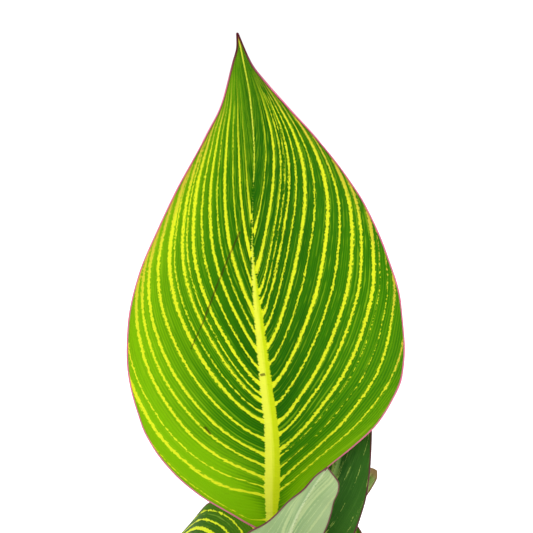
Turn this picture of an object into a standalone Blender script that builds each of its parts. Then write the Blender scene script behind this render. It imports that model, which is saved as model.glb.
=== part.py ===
"""A striped canna lily growing in a plain clay pot, at its real size.

Metres, +Z up. The origin is the centre of the pot's underside, and -Y is the front.
Each leaf grew as one piece: a sheath rolled round the stem, a short channelled stalk and a broad blade
whose side veins leave the midrib nearly square to it and sweep up towards the tip.
"""

import math
from dataclasses import dataclass

import bmesh
import bpy
import numpy as np
from mathutils import Matrix, Vector

MM = 0.001
GAP = 0.3 * MM

# Pot
POT_HEIGHT = 0.190
POT_BASE_RADIUS = 0.075
POT_SHOULDER_RADIUS = 0.100
POT_RIM_RADIUS = 0.110
POT_RIM_HEIGHT = 0.034
POT_WALL = 0.009
POT_FLOOR = 0.012
POT_EDGE = 0.0025
POT_SIDES = 48
DRAIN_RADIUS = 0.006
DRAIN_CIRCLE_RADIUS = 0.040
DRAIN_COUNT = 4

# Soil
SOIL_EDGE_HEIGHT = 0.164
SOIL_DOME = 0.008
SOIL_RELIEF = 1.2 * MM

# Rhizome and stems
RHIZOME_DEPTH = 0.118
RHIZOME_RADIUS = 0.014
STEM_FOOT_RADIUS = 0.0092
MAIN_STEM_TOP = 0.378
MAIN_STEM_TOP_RADIUS = 0.0050
SIDE_STEM_TOP = 0.300
SIDE_STEM_TOP_RADIUS = 0.0042
SIDE_SHOOT_FOOT = (0.050, 0.044)
SIDE_SHOOT_LEAN = 7.0
ROOT_CLEARANCE = 0.5 * MM

# Leaves
SHEATH_THICKNESS = 1.2 * MM
BLADE_THICKNESS = 0.8 * MM
TIP_THICKNESS = 0.6 * MM
SHEATH_WRAP = 0.92
SHEATH_OVERLAP = 0.010
SHEATH_FLARE = 0.008
SHOULDER_SPREAD = 0.18
SHOULDER_LENGTH = 0.020
SHOULDER_ROWS = (0.17, 0.34, 0.5, 0.66, 0.83, 1.0)
STALK_HALF_WIDTH = 0.0058
MIDRIB_HALF_WIDTH = 0.0056
KEEL_DEPTH = 0.0042
SHEATH_CLEARANCE = 2 * GAP
FACET_ALLOWANCE = 1.055
TIP_HALF_WIDTH = 0.8 * MM
FOOT_SHARE = 0.10
PATH_STEPS = 320
NORMAL_STEP = 0.2 * MM

# The side veins: how far up the margin they end, and how they rise on the way there. A vein from the foot of
# the blade runs out first and turns up late, and one from higher on turns up as it leaves the midrib.
VEIN_SWEEP = 6.3
VEIN_LATE_TURN = 6.0
VEIN_TURN_FADE = 0.06
VEIN_EARLY_TURN = 7.0
LAST_ROW = 1.68

# A canna blade's outline: share of the length, then half-width as a share of the greatest half-width
PLAIN_OUTLINE = (
    (0.0, 0.0), (0.04, 0.20), (0.09, 0.48), (0.15, 0.71), (0.22, 0.88), (0.32, 0.99),
    (0.40, 1.00), (0.50, 0.93), (0.60, 0.80), (0.70, 0.62), (0.80, 0.38), (0.89, 0.16),
    (0.96, 0.04), (1.0, 0.01),
)
# The big striped leaf: its two halves aren't alike, because the right one curls under near its foot
STRIPED_HALF_WIDTH = 0.0995
STRIPED_LEFT = (
    (0.0, 0.0), (0.03, 0.20), (0.078, 0.50), (0.126, 0.695), (0.173, 0.825), (0.22, 0.90),
    (0.317, 0.937), (0.412, 0.902), (0.508, 0.806), (0.60, 0.656), (0.70, 0.492), (0.795, 0.319),
    (0.843, 0.221), (0.89, 0.148), (0.938, 0.074), (0.97, 0.022), (1.0, 0.0),
)
STRIPED_RIGHT = (
    (0.0, 0.0), (0.03, 0.063), (0.078, 0.206), (0.126, 0.376), (0.173, 0.567), (0.22, 0.732),
    (0.27, 0.857), (0.317, 0.942), (0.39, 0.99), (0.46, 0.996), (0.556, 0.919), (0.65, 0.774),
    (0.70, 0.662), (0.795, 0.406), (0.843, 0.262), (0.89, 0.136), (0.938, 0.044), (1.0, 0.0),
)
# How far the striped leaf's midrib wanders to the right of a straight line, in metres
STRIPED_SWAY = (
    (0.0, 0.0), (0.13, 0.001), (0.20, 0.0004), (0.27, -0.0025), (0.41, -0.008), (0.50, -0.0115),
    (0.59, -0.0133), (0.67, -0.0126), (0.75, -0.0117), (0.85, -0.014), (0.93, -0.0185), (1.0, -0.0238),
)
# The grey leaf in front: its half towards +X is broad far up, and the other one narrows early
FRONT_LEFT = (
    (0.0, 0.0), (0.04, 0.20), (0.09, 0.48), (0.15, 0.68), (0.22, 0.80), (0.32, 0.84), (0.45, 0.78),
    (0.60, 0.66), (0.70, 0.63), (0.78, 0.60), (0.85, 0.53), (0.91, 0.47), (0.96, 0.36), (1.0, 0.0),
)
FRONT_RIGHT = (
    (0.0, 0.0), (0.04, 0.20), (0.09, 0.48), (0.15, 0.71), (0.22, 0.88), (0.32, 0.97), (0.42, 0.92),
    (0.52, 0.76), (0.62, 0.49), (0.72, 0.28), (0.82, 0.15), (0.92, 0.08), (1.0, 0.0),
)
# The small leaf whose tip has dried and broken off blunt
DRY_OUTLINE = (
    (0.0, 0.0), (0.04, 0.20), (0.09, 0.48), (0.15, 0.71), (0.22, 0.88), (0.32, 0.99), (0.40, 1.00),
    (0.50, 0.90), (0.60, 0.72), (0.70, 0.54), (0.80, 0.42), (0.90, 0.36), (0.96, 0.30), (1.0, 0.10),
)
NO_SWAY = ((0.0, 0.0), (1.0, 0.0))


@dataclass
class Shoot:
    """A stem of the plant: where it stands, how it leans, and its radius from foot to top."""

    foot: tuple
    lean_degrees: float
    lean_azimuth: float
    foot_height: float
    top_height: float
    top_radius: float

    def placement(self):
        turn = Matrix.Rotation(math.radians(self.lean_azimuth), 4, "Z")
        lean = Matrix.Rotation(math.radians(self.lean_degrees), 4, "Y")
        foot = Vector((self.foot[0], self.foot[1], self.foot_height))
        stand = Matrix.Translation((self.foot[0], self.foot[1], 0.0))
        return Matrix.Translation(foot) @ turn @ lean @ turn.inverted() @ Matrix.Translation(-foot) @ stand

    def radius_at(self, height):
        share = (height - self.foot_height) / (self.top_height - self.foot_height)
        return STEM_FOOT_RADIUS + (self.top_radius - STEM_FOOT_RADIUS) * min(max(share, 0.0), 1.0)


@dataclass
class Leaf:
    """One leaf. Distances run along the midrib from the node, and lean is measured from upright."""

    name: str
    shoot: Shoot
    azimuth: float
    node_height: float
    next_node_height: float
    blade_start: float
    blade_length: float
    half_width: float
    leans: tuple
    swings: tuple = ((0.0, 0.0), (1.0, 0.0))
    rolls: tuple = ((0.0, 0.0), (1.0, 0.0))
    left_outline: tuple = PLAIN_OUTLINE
    right_outline: tuple = PLAIN_OUTLINE
    sway: tuple = NO_SWAY
    fold_degrees: float = 10.0
    cupping: float = 2.0
    opening: float = 0.03
    wave_height: float = 0.004
    wave_length: float = 0.075
    wave_phase: float = 0.0
    blade_rows: int = 16
    half_columns: int = 4
    colour: tuple = (0.10, 0.27, 0.03)
    has_next: bool = True


def colour_material(name, colour, roughness, metallic=0.0):
    material = bpy.data.materials.new(name)
    material.use_nodes = True
    shader = material.node_tree.nodes["Principled BSDF"]
    shader.inputs["Base Color"].default_value = (*colour, 1.0)
    shader.inputs["Roughness"].default_value = roughness
    shader.inputs["Metallic"].default_value = metallic
    material.diffuse_color = (*colour, 1.0)
    return material


def new_object(name, bm, material, smooth_angle=35.0):
    mesh = bpy.data.meshes.new(name)
    bm.to_mesh(mesh)
    bm.free()
    mesh.shade_smooth()
    mesh.set_sharp_from_angle(angle=math.radians(smooth_angle))
    obj = bpy.data.objects.new(name, mesh)
    obj.data.materials.append(material)
    bpy.context.scene.collection.objects.link(obj)
    return obj


def hide_helper(obj):
    obj.hide_render = True
    obj.display_type = "WIRE"


def cut(obj, cutter):
    modifier = obj.modifiers.new("cut_" + cutter.name, "BOOLEAN")
    modifier.operation = "DIFFERENCE"
    modifier.solver = "EXACT"
    modifier.object = cutter
    hide_helper(cutter)


def turned(name, profile, sides, material):
    """Turns a profile of (radius, height) points about Z. Its first and last points are on the axis."""
    bm = bmesh.new()
    rings = []
    for radius, height in profile[1:-1]:
        rings.append([
            bm.verts.new((
                radius * math.cos(2 * math.pi * step / sides),
                radius * math.sin(2 * math.pi * step / sides),
                height,
            ))
            for step in range(sides)
        ])
    for lower, upper in zip(rings, rings[1:]):
        for step in range(sides):
            after = (step + 1) % sides
            bm.faces.new((lower[step], lower[after], upper[after], upper[step]))
    for ring, (_, height) in ((rings[0], profile[0]), (rings[-1], profile[-1])):
        pole = bm.verts.new((0.0, 0.0, height))
        for step in range(sides):
            bm.faces.new((ring[step], ring[(step + 1) % sides], pole))
    bmesh.ops.recalc_face_normals(bm, faces=bm.faces)
    return new_object(name, bm, material)


def pot_inner_radius(height):
    """The radius of the pot's inner wall, which tapers evenly from its floor to its rim."""
    top = POT_RIM_RADIUS - POT_WALL - 0.002
    foot = POT_BASE_RADIUS - POT_WALL
    return foot + (top - foot) * (height - POT_FLOOR) / (POT_HEIGHT - POT_FLOOR)


def make_pot(material):
    """A thrown clay pot: a tapered wall, a plain band at the rim and four drain holes in the floor."""
    rim_foot = POT_HEIGHT - POT_RIM_HEIGHT
    profile = (
        (0.0, 0.0),
        (POT_BASE_RADIUS - POT_EDGE, 0.0),
        (POT_BASE_RADIUS, POT_EDGE),
        (POT_SHOULDER_RADIUS, rim_foot),
        (POT_RIM_RADIUS - POT_EDGE, rim_foot),
        (POT_RIM_RADIUS, rim_foot + POT_EDGE),
        (POT_RIM_RADIUS, POT_HEIGHT - POT_EDGE),
        (POT_RIM_RADIUS - POT_EDGE, POT_HEIGHT),
        (pot_inner_radius(POT_HEIGHT) + POT_EDGE, POT_HEIGHT),
        (pot_inner_radius(POT_HEIGHT - POT_EDGE), POT_HEIGHT - POT_EDGE),
        (pot_inner_radius(POT_FLOOR), POT_FLOOR),
        (0.0, POT_FLOOR),
    )
    pot = turned("pot", profile, POT_SIDES, material)
    for number in range(DRAIN_COUNT):
        angle = math.radians(45) + 2 * math.pi * number / DRAIN_COUNT
        bm = bmesh.new()
        bmesh.ops.create_cone(
            bm, cap_ends=True, segments=12, radius1=DRAIN_RADIUS, radius2=DRAIN_RADIUS, depth=4 * POT_FLOOR,
            matrix=Matrix.Translation((
                DRAIN_CIRCLE_RADIUS * math.cos(angle), DRAIN_CIRCLE_RADIUS * math.sin(angle), POT_FLOOR / 2,
            )),
        )
        cut(pot, new_object(f"drain_cutter_{number + 1}", bm, material))
    return pot


def soil_height(x, y):
    """The soil's surface: a low dome, a little uneven."""
    edge_radius = pot_inner_radius(SOIL_EDGE_HEIGHT)
    share = min(math.hypot(x, y) / edge_radius, 1.0)
    ripple = math.sin(95 * x + 1.3) * math.sin(110 * y) + 0.6 * math.sin(210 * x - 160 * y)
    return SOIL_EDGE_HEIGHT + SOIL_DOME * (1 - share ** 2) + SOIL_RELIEF * ripple * (1 - share ** 4)


def make_soil(material):
    foot = POT_FLOOR + GAP
    shares = (0.0, 0.14, 0.3, 0.46, 0.62, 0.78, 0.9, 1.0)
    top_radius = pot_inner_radius(SOIL_EDGE_HEIGHT) - 2 * GAP
    rings = [(share * top_radius, SOIL_EDGE_HEIGHT) for share in shares]
    profile = [(0.0, foot), (pot_inner_radius(foot) - 2 * GAP, foot), *rings[::-1]]
    soil = turned("soil", profile, POT_SIDES, material)
    for vertex in soil.data.vertices:
        if vertex.co.z > SOIL_EDGE_HEIGHT - MM:
            vertex.co.z = soil_height(vertex.co.x, vertex.co.y)
    return soil


def tube(bm, centres, radii, sides=12):
    """A round limb through the centres, with a flat end at each end."""
    angles = [2 * math.pi * step / sides for step in range(sides)]
    across = (Vector(centres[1]) - Vector(centres[0])).orthogonal()
    rings = []
    for number, (centre, radius) in enumerate(zip(centres, radii)):
        before = Vector(centres[max(number - 1, 0)])
        after = Vector(centres[min(number + 1, len(centres) - 1)])
        along = (after - before).normalized()
        across = (across - along * across.dot(along)).normalized()
        other = along.cross(across)
        rings.append([
            bm.verts.new(Vector(centre) + radius * (across * math.cos(angle) + other * math.sin(angle)))
            for angle in angles
        ])
    for lower, upper in zip(rings, rings[1:]):
        for step in range(sides):
            after = (step + 1) % sides
            bm.faces.new((lower[step], lower[after], upper[after], upper[step]))
    bm.faces.new(rings[0][::-1])
    bm.faces.new(rings[-1])


def limb(name, centres, radii, extra, material):
    """A tube object, grown out by extra on its sides and at both ends."""
    centres = [Vector(centre) for centre in centres]
    centres[0] += (centres[0] - centres[1]).normalized() * extra
    centres[-1] += (centres[-1] - centres[-2]).normalized() * extra
    bm = bmesh.new()
    tube(bm, centres, [radius + extra for radius in radii])
    bmesh.ops.recalc_face_normals(bm, faces=bm.faces)
    return new_object(name, bm, material)


def stem_limb(name, shoot, extra, material):
    """A shoot's stem from inside the rhizome to its blunt top."""
    placement = shoot.placement()
    heights = [RHIZOME_DEPTH + step * (shoot.top_height - RHIZOME_DEPTH) / 9 for step in range(10)]
    centres = [placement @ Vector((0.0, 0.0, height)) for height in heights]
    radii = [shoot.radius_at(height) for height in heights]
    tip = placement @ Vector((0.0, 0.0, shoot.top_height + 2 * shoot.top_radius))
    return limb(name, [*centres, tip], [*radii, 0.35 * shoot.top_radius], extra, material)


def root_limbs(prefix, extra, material):
    """The rhizome, a blunt bud on it and both stems, each grown out by extra."""
    side_x, side_y = SIDE_SHOOT_FOOT
    along = Vector((side_x, side_y, 0.0)).normalized()
    steps = (-0.044, -0.040, -0.025, 0.0, 0.022, 0.044, 0.062, 0.073, 0.077)
    swell = (0.35, 0.8, 0.95, 1.1, 0.85, 0.8, 1.05, 0.75, 0.35)
    centres = [along * step + Vector((0.0, 0.0, RHIZOME_DEPTH - 0.1 * abs(step))) for step in steps]
    rhizome = limb(prefix + "_rhizome", centres, [RHIZOME_RADIUS * share for share in swell], extra, material)
    bud_foot = along * -0.028 + Vector((0.0, 0.0, RHIZOME_DEPTH))
    bud_points = [bud_foot + Vector((-0.004 * step, 0.002 * step, 0.008 * step)) for step in range(4)]
    bud = limb(prefix + "_bud", bud_points, [share * MM for share in (8.0, 7.0, 5.0, 1.5)], extra, material)
    main_stem = stem_limb(prefix + "_main_stem", MAIN, extra, material)
    side_stem = stem_limb(prefix + "_side_stem", SIDE, extra, material)
    return [rhizome, bud, main_stem, side_stem]


def joined(name, limbs):
    """The limbs as one closed body: the first takes in the others, which are then removed."""
    first = limbs[0]
    helpers = bpy.data.collections.new(name + "_limbs")
    bpy.context.scene.collection.children.link(helpers)
    for other in limbs[1:]:
        helpers.objects.link(other)
        bpy.context.scene.collection.objects.unlink(other)
    modifier = first.modifiers.new("join", "BOOLEAN")
    modifier.operation = "UNION"
    modifier.solver = "EXACT"
    modifier.operand_type = "COLLECTION"
    modifier.collection = helpers
    graph = bpy.context.evaluated_depsgraph_get()
    mesh = bpy.data.meshes.new_from_object(first.evaluated_get(graph), depsgraph=graph)
    first.modifiers.clear()
    first.data = mesh
    first.name = name
    for other in limbs[1:]:
        bpy.data.objects.remove(other)
    bpy.data.collections.remove(helpers)
    return first


def between(table, position):
    """Reads a table of (position, value) pairs, with straight runs between them."""
    return np.interp(position, [row[0] for row in table], [row[1] for row in table])


def rounded(table, position):
    """Reads such a table as a smooth curve through its points, which swings past none of them."""
    places, values = np.array(table).T
    widths = np.diff(places)
    slopes = np.diff(values) / widths
    before, after = slopes[:-1], slopes[1:]
    same_way = before * after > 0
    middle = np.where(same_way, 2 * before * after / np.where(same_way, before + after, 1.0), 0.0)
    gradients = np.concatenate([slopes[:1], middle, slopes[-1:]])
    position = np.clip(position, places[0], places[-1])
    cell = np.clip(np.searchsorted(places, position, side="right") - 1, 0, len(widths) - 1)
    share = (position - places[cell]) / widths[cell]
    rise = (values[cell + 1] - values[cell]) * share ** 2 * (3 - 2 * share)
    leave = gradients[cell] * widths[cell] * share * (1 - share) ** 2
    arrive = gradients[cell + 1] * widths[cell] * share ** 2 * (1 - share)
    return values[cell] + rise + leave - arrive


def smooth_step(share):
    share = np.clip(share, 0.0, 1.0)
    return share * share * (3 - 2 * share)


def margin_share(origin):
    """How far up the margin a side vein ends, when it leaves the midrib at the share origin of the length."""
    return (1 - math.exp(-VEIN_SWEEP * origin)) / (1 - math.exp(-VEIN_SWEEP))


def vein_origins(count):
    """Where the rows of a blade leave its midrib, spaced evenly along midrib and margin together."""
    origins = []
    for row in range(1, count + 1):
        wanted = LAST_ROW * row / count
        low, high = 0.0, 1.0
        for _ in range(30):
            middle = (low + high) / 2
            if middle + margin_share(middle) < wanted:
                low = middle
            else:
                high = middle
        origins.append(low)
    return origins


def stoutness(leaf):
    """How thick a leaf's stalk and midrib are, as a share of the big striped leaf's."""
    return 0.5 + 0.5 * leaf.half_width / STRIPED_HALF_WIDTH


def half_width_at(leaf, side, share):
    """From the midrib's middle to one margin: as wide as the stalk at the foot, and never quite nothing."""
    left = rounded(leaf.left_outline, share)
    right = rounded(leaf.right_outline, share)
    blade = leaf.half_width * np.where(side > 0, right, left) + TIP_HALF_WIDTH * share
    return blade + STALK_HALF_WIDTH * stoutness(leaf) * (1 - smooth_step(share / FOOT_SHARE))


def midrib_half_width(leaf, share):
    widened = 0.6 + 0.4 * smooth_step(share / FOOT_SHARE)
    return MIDRIB_HALF_WIDTH * stoutness(leaf) * widened * (1 - 0.93 * smooth_step(share * 1.15))


def vein_point(leaf, side, origin, share):
    """A point of a flat blade on the side vein that leaves the midrib at origin, a share of the way across."""
    late = 1.2 + VEIN_LATE_TURN * math.exp(-origin / VEIN_TURN_FADE)
    early = 0.9 + VEIN_EARLY_TURN * origin ** 2
    risen = 1 - (1 - share ** late) ** early
    height = origin + (margin_share(origin) - origin) * risen
    rib = midrib_half_width(leaf, height)
    across = rib + (half_width_at(leaf, side, height) - rib) * share
    return side * across, leaf.blade_start + height * leaf.blade_length


def sheath_end(leaf):
    return leaf.next_node_height - leaf.node_height + SHEATH_OVERLAP


def stations(leaf):
    """Where the rows of the sheath, its shoulder and the stalk lie, up to the foot of the blade."""
    end = sheath_end(leaf)
    flared = end - SHEATH_OVERLAP
    places = [0.0, flared - SHEATH_FLARE, flared, end]
    places += [end + share * SHOULDER_LENGTH for share in SHOULDER_ROWS]
    if leaf.blade_start - places[-1] > 0.012:
        places.append((leaf.blade_start + places[-1]) / 2)
    return [*places, leaf.blade_start]


def flat_rows(leaf):
    """The leaf laid flat: rows of (across, along) points from the left margin to the right one."""
    shares = [step / leaf.half_columns for step in range(leaf.half_columns + 1)]
    stalk = STALK_HALF_WIDTH * stoutness(leaf)
    rib = midrib_half_width(leaf, 0.0)
    rows = []
    for along in stations(leaf):
        wrapped = SHEATH_WRAP * math.pi * sheath_radius(leaf, along)
        width = wrapped + (stalk - wrapped) * smooth_step((along - sheath_end(leaf)) / SHOULDER_LENGTH)
        half = [(rib + (width - rib) * share, along) for share in shares]
        rows.append([(-across, place) for across, place in half[::-1]] + [(0.0, along)] + half)
    for origin in vein_origins(leaf.blade_rows):
        left, right = ([vein_point(leaf, side, origin, share) for share in shares] for side in (-1, 1))
        rows.append(left[::-1] + [(0.0, leaf.blade_start + origin * leaf.blade_length)] + right)
    return np.array(rows)


def node_radius(shoot, height):
    """The radius of a sheath's middle where it starts, just clear of the stem."""
    return shoot.radius_at(height) * FACET_ALLOWANCE + SHEATH_THICKNESS / 2 + GAP


def sheath_radius(leaf, along):
    """The radius of the rolled sheath's middle. Its top flares, because the next sheath starts inside it."""
    foot = node_radius(leaf.shoot, leaf.node_height)
    top = foot
    if leaf.has_next:
        inner = node_radius(leaf.shoot, leaf.next_node_height) * FACET_ALLOWANCE
        top = inner + SHEATH_THICKNESS + SHEATH_CLEARANCE
    flared = sheath_end(leaf) - SHEATH_OVERLAP
    opened = foot + (top - foot) * smooth_step(1 - (flared - along) / SHEATH_FLARE)
    return opened + SHOULDER_SPREAD * np.clip(along - sheath_end(leaf), 0.0, SHOULDER_LENGTH)


def midrib_path(leaf):
    """Distances, points and directions along the midrib, in a frame that is out from the stem, sideways and up."""
    distances = np.linspace(0.0, leaf.blade_start + leaf.blade_length, PATH_STEPS + 1)
    lean = np.radians(between(leaf.leans, distances))
    swing = np.radians(between(leaf.swings, distances))
    directions = np.stack([np.sin(lean) * np.cos(swing), np.sin(lean) * np.sin(swing), np.cos(lean)], axis=1)
    steps = directions[:-1] * (distances[1] - distances[0])
    places = np.vstack([np.zeros(3), np.cumsum(steps, axis=0)])
    places[:, 0] += sheath_radius(leaf, distances)
    places[:, 2] += leaf.node_height
    return distances, places, directions


def unit(vectors):
    return vectors / np.linalg.norm(vectors, axis=-1, keepdims=True)


def bend(leaf, path, flat):
    """Takes flat (across, along) points to the leaf's real form: rolled round the stem, arched and waved."""
    across, along = flat[..., 0], flat[..., 1]
    distances, places, directions = path
    place = np.stack([np.interp(along, distances, places[:, axis]) for axis in range(3)], axis=-1)
    tangent = unit(np.stack([np.interp(along, distances, directions[:, axis]) for axis in range(3)], axis=-1))
    level = np.array([0.0, -1.0, 0.0])
    level = unit(level - tangent * (tangent @ level)[..., None])
    facing = np.cross(level, tangent)
    roll = np.radians(between(leaf.rolls, along))[..., None]
    right = level * np.cos(roll) + facing * np.sin(roll)
    inward = facing * np.cos(roll) - level * np.sin(roll)

    share = np.clip((along - leaf.blade_start) / leaf.blade_length, 0.0, 1.0)
    rolled = 1 / sheath_radius(leaf, along)
    curve = leaf.cupping + (rolled - leaf.cupping) * np.exp(-share / leaf.opening)
    sideways = np.sin(curve * across) / curve + rounded(leaf.sway, share)
    raised = (1 - np.cos(curve * across)) / curve

    opened = smooth_step(share / 0.12)
    edge = np.clip(np.abs(across) / half_width_at(leaf, across, share), 0.0, 1.0)
    turn = 2 * math.pi * along / leaf.wave_length + leaf.wave_phase + np.where(across > 0, 1.9, 0.0)
    raised += math.tan(math.radians(leaf.fold_degrees)) * np.abs(across) * opened
    raised += leaf.wave_height * np.sin(turn) * edge ** 2 * opened * smooth_step((1 - share) / 0.15)
    return place + right * sideways[..., None] + inward * raised[..., None]


def surface_normals(leaf, path, flat):
    """A unit normal on the upper side, from how the bent leaf runs a little to each side of a point."""
    sideways = np.array([NORMAL_STEP, 0.0])
    onward = np.array([0.0, NORMAL_STEP])
    across = bend(leaf, path, flat + sideways) - bend(leaf, path, flat - sideways)
    along = bend(leaf, path, flat + onward) - bend(leaf, path, flat - onward)
    return unit(np.cross(across, along))


def make_leaf(leaf):
    """A closed thin leaf: upper face, lower face with the midrib's keel, and the cut between them all round."""
    path = midrib_path(leaf)
    flat = flat_rows(leaf)
    row_count, column_count = flat.shape[:2]
    middle = column_count // 2
    share = (flat[..., 1] - leaf.blade_start) / leaf.blade_length
    thickness = SHEATH_THICKNESS + (BLADE_THICKNESS - SHEATH_THICKNESS) * smooth_step((share + 0.15) / 0.2)
    keel = np.zeros_like(share)
    ridge = KEEL_DEPTH * stoutness(leaf) * smooth_step((share + 0.15) / 0.15) * (1 - smooth_step(share * 1.1))
    keel[:, middle] = ridge[:, middle]
    points = bend(leaf, path, flat)
    normals = surface_normals(leaf, path, flat)
    tip_flat = np.array([0.0, leaf.blade_start + leaf.blade_length])
    tip = bend(leaf, path, tip_flat)
    tip_normal = surface_normals(leaf, path, tip_flat - np.array([0.0, NORMAL_STEP]))

    placement = leaf.shoot.placement() @ Matrix.Rotation(math.radians(leaf.azimuth), 4, "Z")
    bm = bmesh.new()

    def layer_of(surface, tip_place):
        rows = [[bm.verts.new(placement @ Vector(point)) for point in row] for row in surface]
        return rows, bm.verts.new(placement @ Vector(tip_place))

    upper, upper_tip = layer_of(points + normals * thickness[..., None] / 2, tip + tip_normal * TIP_THICKNESS / 2)
    below = (thickness / 2 + keel)[..., None]
    lower, lower_tip = layer_of(points - normals * below, tip - tip_normal * TIP_THICKNESS / 2)
    for rows, flip in ((upper, False), (lower, True)):
        for row in range(row_count - 1):
            for column in range(column_count - 1):
                quad = (rows[row][column], rows[row][column + 1], rows[row + 1][column + 1], rows[row + 1][column])
                halves = ((0, 1, 2), (0, 2, 3)) if column < middle else ((0, 1, 3), (1, 2, 3))
                for half in halves:
                    face = [quad[number] for number in half]
                    bm.faces.new(face[::-1] if flip else face)
    for column in range(column_count - 1):
        bm.faces.new((upper[-1][column], upper[-1][column + 1], upper_tip))
        bm.faces.new((lower[-1][column + 1], lower[-1][column], lower_tip))
        bm.faces.new((upper[0][column + 1], upper[0][column], lower[0][column], lower[0][column + 1]))
    for column, flip in ((0, False), (column_count - 1, True)):
        rim_upper = [row[column] for row in upper] + [upper_tip]
        rim_lower = [row[column] for row in lower] + [lower_tip]
        for number in range(row_count):
            face = (rim_upper[number], rim_upper[number + 1], rim_lower[number + 1], rim_lower[number])
            bm.faces.new(face[::-1] if flip else face)
    bmesh.ops.triangulate(bm, faces=bm.faces)
    bmesh.ops.recalc_face_normals(bm, faces=bm.faces)
    return new_object(leaf.name, bm, colour_material(leaf.name, leaf.colour, 0.45), smooth_angle=60.0)


MAIN = Shoot(foot=(0.0, 0.0), lean_degrees=0.0, lean_azimuth=0.0, foot_height=0.172,
             top_height=MAIN_STEM_TOP, top_radius=MAIN_STEM_TOP_RADIUS)
SIDE = Shoot(foot=SIDE_SHOOT_FOOT, lean_degrees=SIDE_SHOOT_LEAN, lean_azimuth=35.0, foot_height=0.170,
             top_height=SIDE_STEM_TOP, top_radius=SIDE_STEM_TOP_RADIUS)

LEAVES = (
    Leaf("leaf_low_right", MAIN, azimuth=-32, node_height=0.180, next_node_height=0.212,
         blade_start=0.105, blade_length=0.260, half_width=0.054,
         leans=((0.0, 0), (0.052, 0), (0.10, 26), (0.18, 52), (0.28, 90), (0.365, 120)),
         fold_degrees=14, wave_phase=0.4),
    Leaf("leaf_low_left", MAIN, azimuth=-120, node_height=0.212, next_node_height=0.245,
         blade_start=0.105, blade_length=0.265, half_width=0.056,
         leans=((0.0, 0), (0.053, 0), (0.10, 28), (0.18, 55), (0.28, 92), (0.37, 122)),
         fold_degrees=12, wave_phase=2.1),
    Leaf("leaf_right", MAIN, azimuth=45, node_height=0.245, next_node_height=0.279,
         blade_start=0.165, blade_length=0.185, half_width=0.026,
         leans=((0.0, 0), (0.054, 0), (0.09, 10), (0.16, 14), (0.20, 24), (0.35, 20)),
         rolls=((0.0, 0), (0.08, 0), (0.18, -30), (0.4, -30)),
         fold_degrees=8, wave_height=0.003, wave_phase=1.0),
    Leaf("leaf_left", MAIN, azimuth=143, node_height=0.279, next_node_height=0.312,
         blade_start=0.109, blade_length=0.222, half_width=0.050,
         leans=((0.0, 0), (0.053, 0), (0.07, 1), (0.114, 1), (0.152, 80), (0.186, 114),
                (0.240, 136), (0.350, 150)),
         rolls=((0.0, 0), (0.106, 0), (0.146, 15), (0.196, 12), (0.246, 0)),
         fold_degrees=20, wave_height=0.002, wave_phase=3.0, blade_rows=18, half_columns=7),
    Leaf("leaf_front", MAIN, azimuth=-90, node_height=0.312, next_node_height=0.345,
         blade_start=0.082, blade_length=0.140, half_width=0.035,
         leans=((0.0, 0), (0.053, 0), (0.11, 5), (0.165, 16), (0.224, 38)),
         swings=((0.0, 0), (0.09, 20), (0.12, 90), (1.0, 90)), left_outline=FRONT_LEFT,
         right_outline=FRONT_RIGHT,
         fold_degrees=12, wave_height=0.002, wave_length=0.032, wave_phase=0.5),
    Leaf("leaf_striped", MAIN, azimuth=90, node_height=0.345, next_node_height=0.372,
         blade_start=0.115, blade_length=0.351, half_width=STRIPED_HALF_WIDTH,
         leans=((0.0, 0), (0.045, 0), (0.115, 15), (0.30, 13.5), (0.40, 16), (0.466, 22)),
         left_outline=STRIPED_LEFT, right_outline=STRIPED_RIGHT, sway=STRIPED_SWAY,
         fold_degrees=6, cupping=1.2, opening=0.012, wave_height=0.0035, wave_length=0.11,
         blade_rows=22, half_columns=6, colour=(0.16, 0.43, 0.02), has_next=False),
    Leaf("side_leaf_right", SIDE, azimuth=-8, node_height=0.180, next_node_height=0.213,
         blade_start=0.095, blade_length=0.225, half_width=0.046,
         leans=((0.0, 0), (0.053, 0), (0.11, 28), (0.18, 52), (0.25, 84), (0.32, 108)),
         fold_degrees=14, wave_phase=0.9),
    Leaf("side_leaf_back", SIDE, azimuth=118, node_height=0.213, next_node_height=0.246,
         blade_start=0.095, blade_length=0.220, half_width=0.044,
         leans=((0.0, 0), (0.053, 0), (0.11, 26), (0.18, 54), (0.25, 92), (0.315, 120)),
         fold_degrees=12, wave_phase=2.6),
    Leaf("side_leaf_dry_tip", SIDE, azimuth=150, node_height=0.246, next_node_height=0.278,
         blade_start=0.088, blade_length=0.158, half_width=0.017,
         leans=((0.0, 0), (0.048, 0), (0.075, 16), (0.116, 16), (0.156, 1), (0.196, -22), (0.249, -27)),
         rolls=((0.0, 0), (0.12, 0), (0.20, 60), (0.3, 60)),
         left_outline=DRY_OUTLINE, right_outline=DRY_OUTLINE,
         fold_degrees=8, wave_height=0.001, wave_length=0.04, colour=(0.30, 0.42, 0.06), has_next=False),
)


def make_plant():
    for old in list(bpy.data.objects):
        bpy.data.objects.remove(old)
    clay = colour_material("fired_clay", (0.42, 0.16, 0.08), 0.85)
    earth = colour_material("potting_soil", (0.035, 0.022, 0.014), 0.95)
    stem_skin = colour_material("stem_skin", (0.22, 0.33, 0.07), 0.5)
    make_pot(clay)
    soil = make_soil(earth)
    joined("rhizome_and_stems", root_limbs("grown", 0.0, stem_skin))
    cut(soil, joined("root_cutter", root_limbs("cutter", ROOT_CLEARANCE, stem_skin)))
    for leaf in LEAVES:
        make_leaf(leaf)


make_plant()
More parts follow.
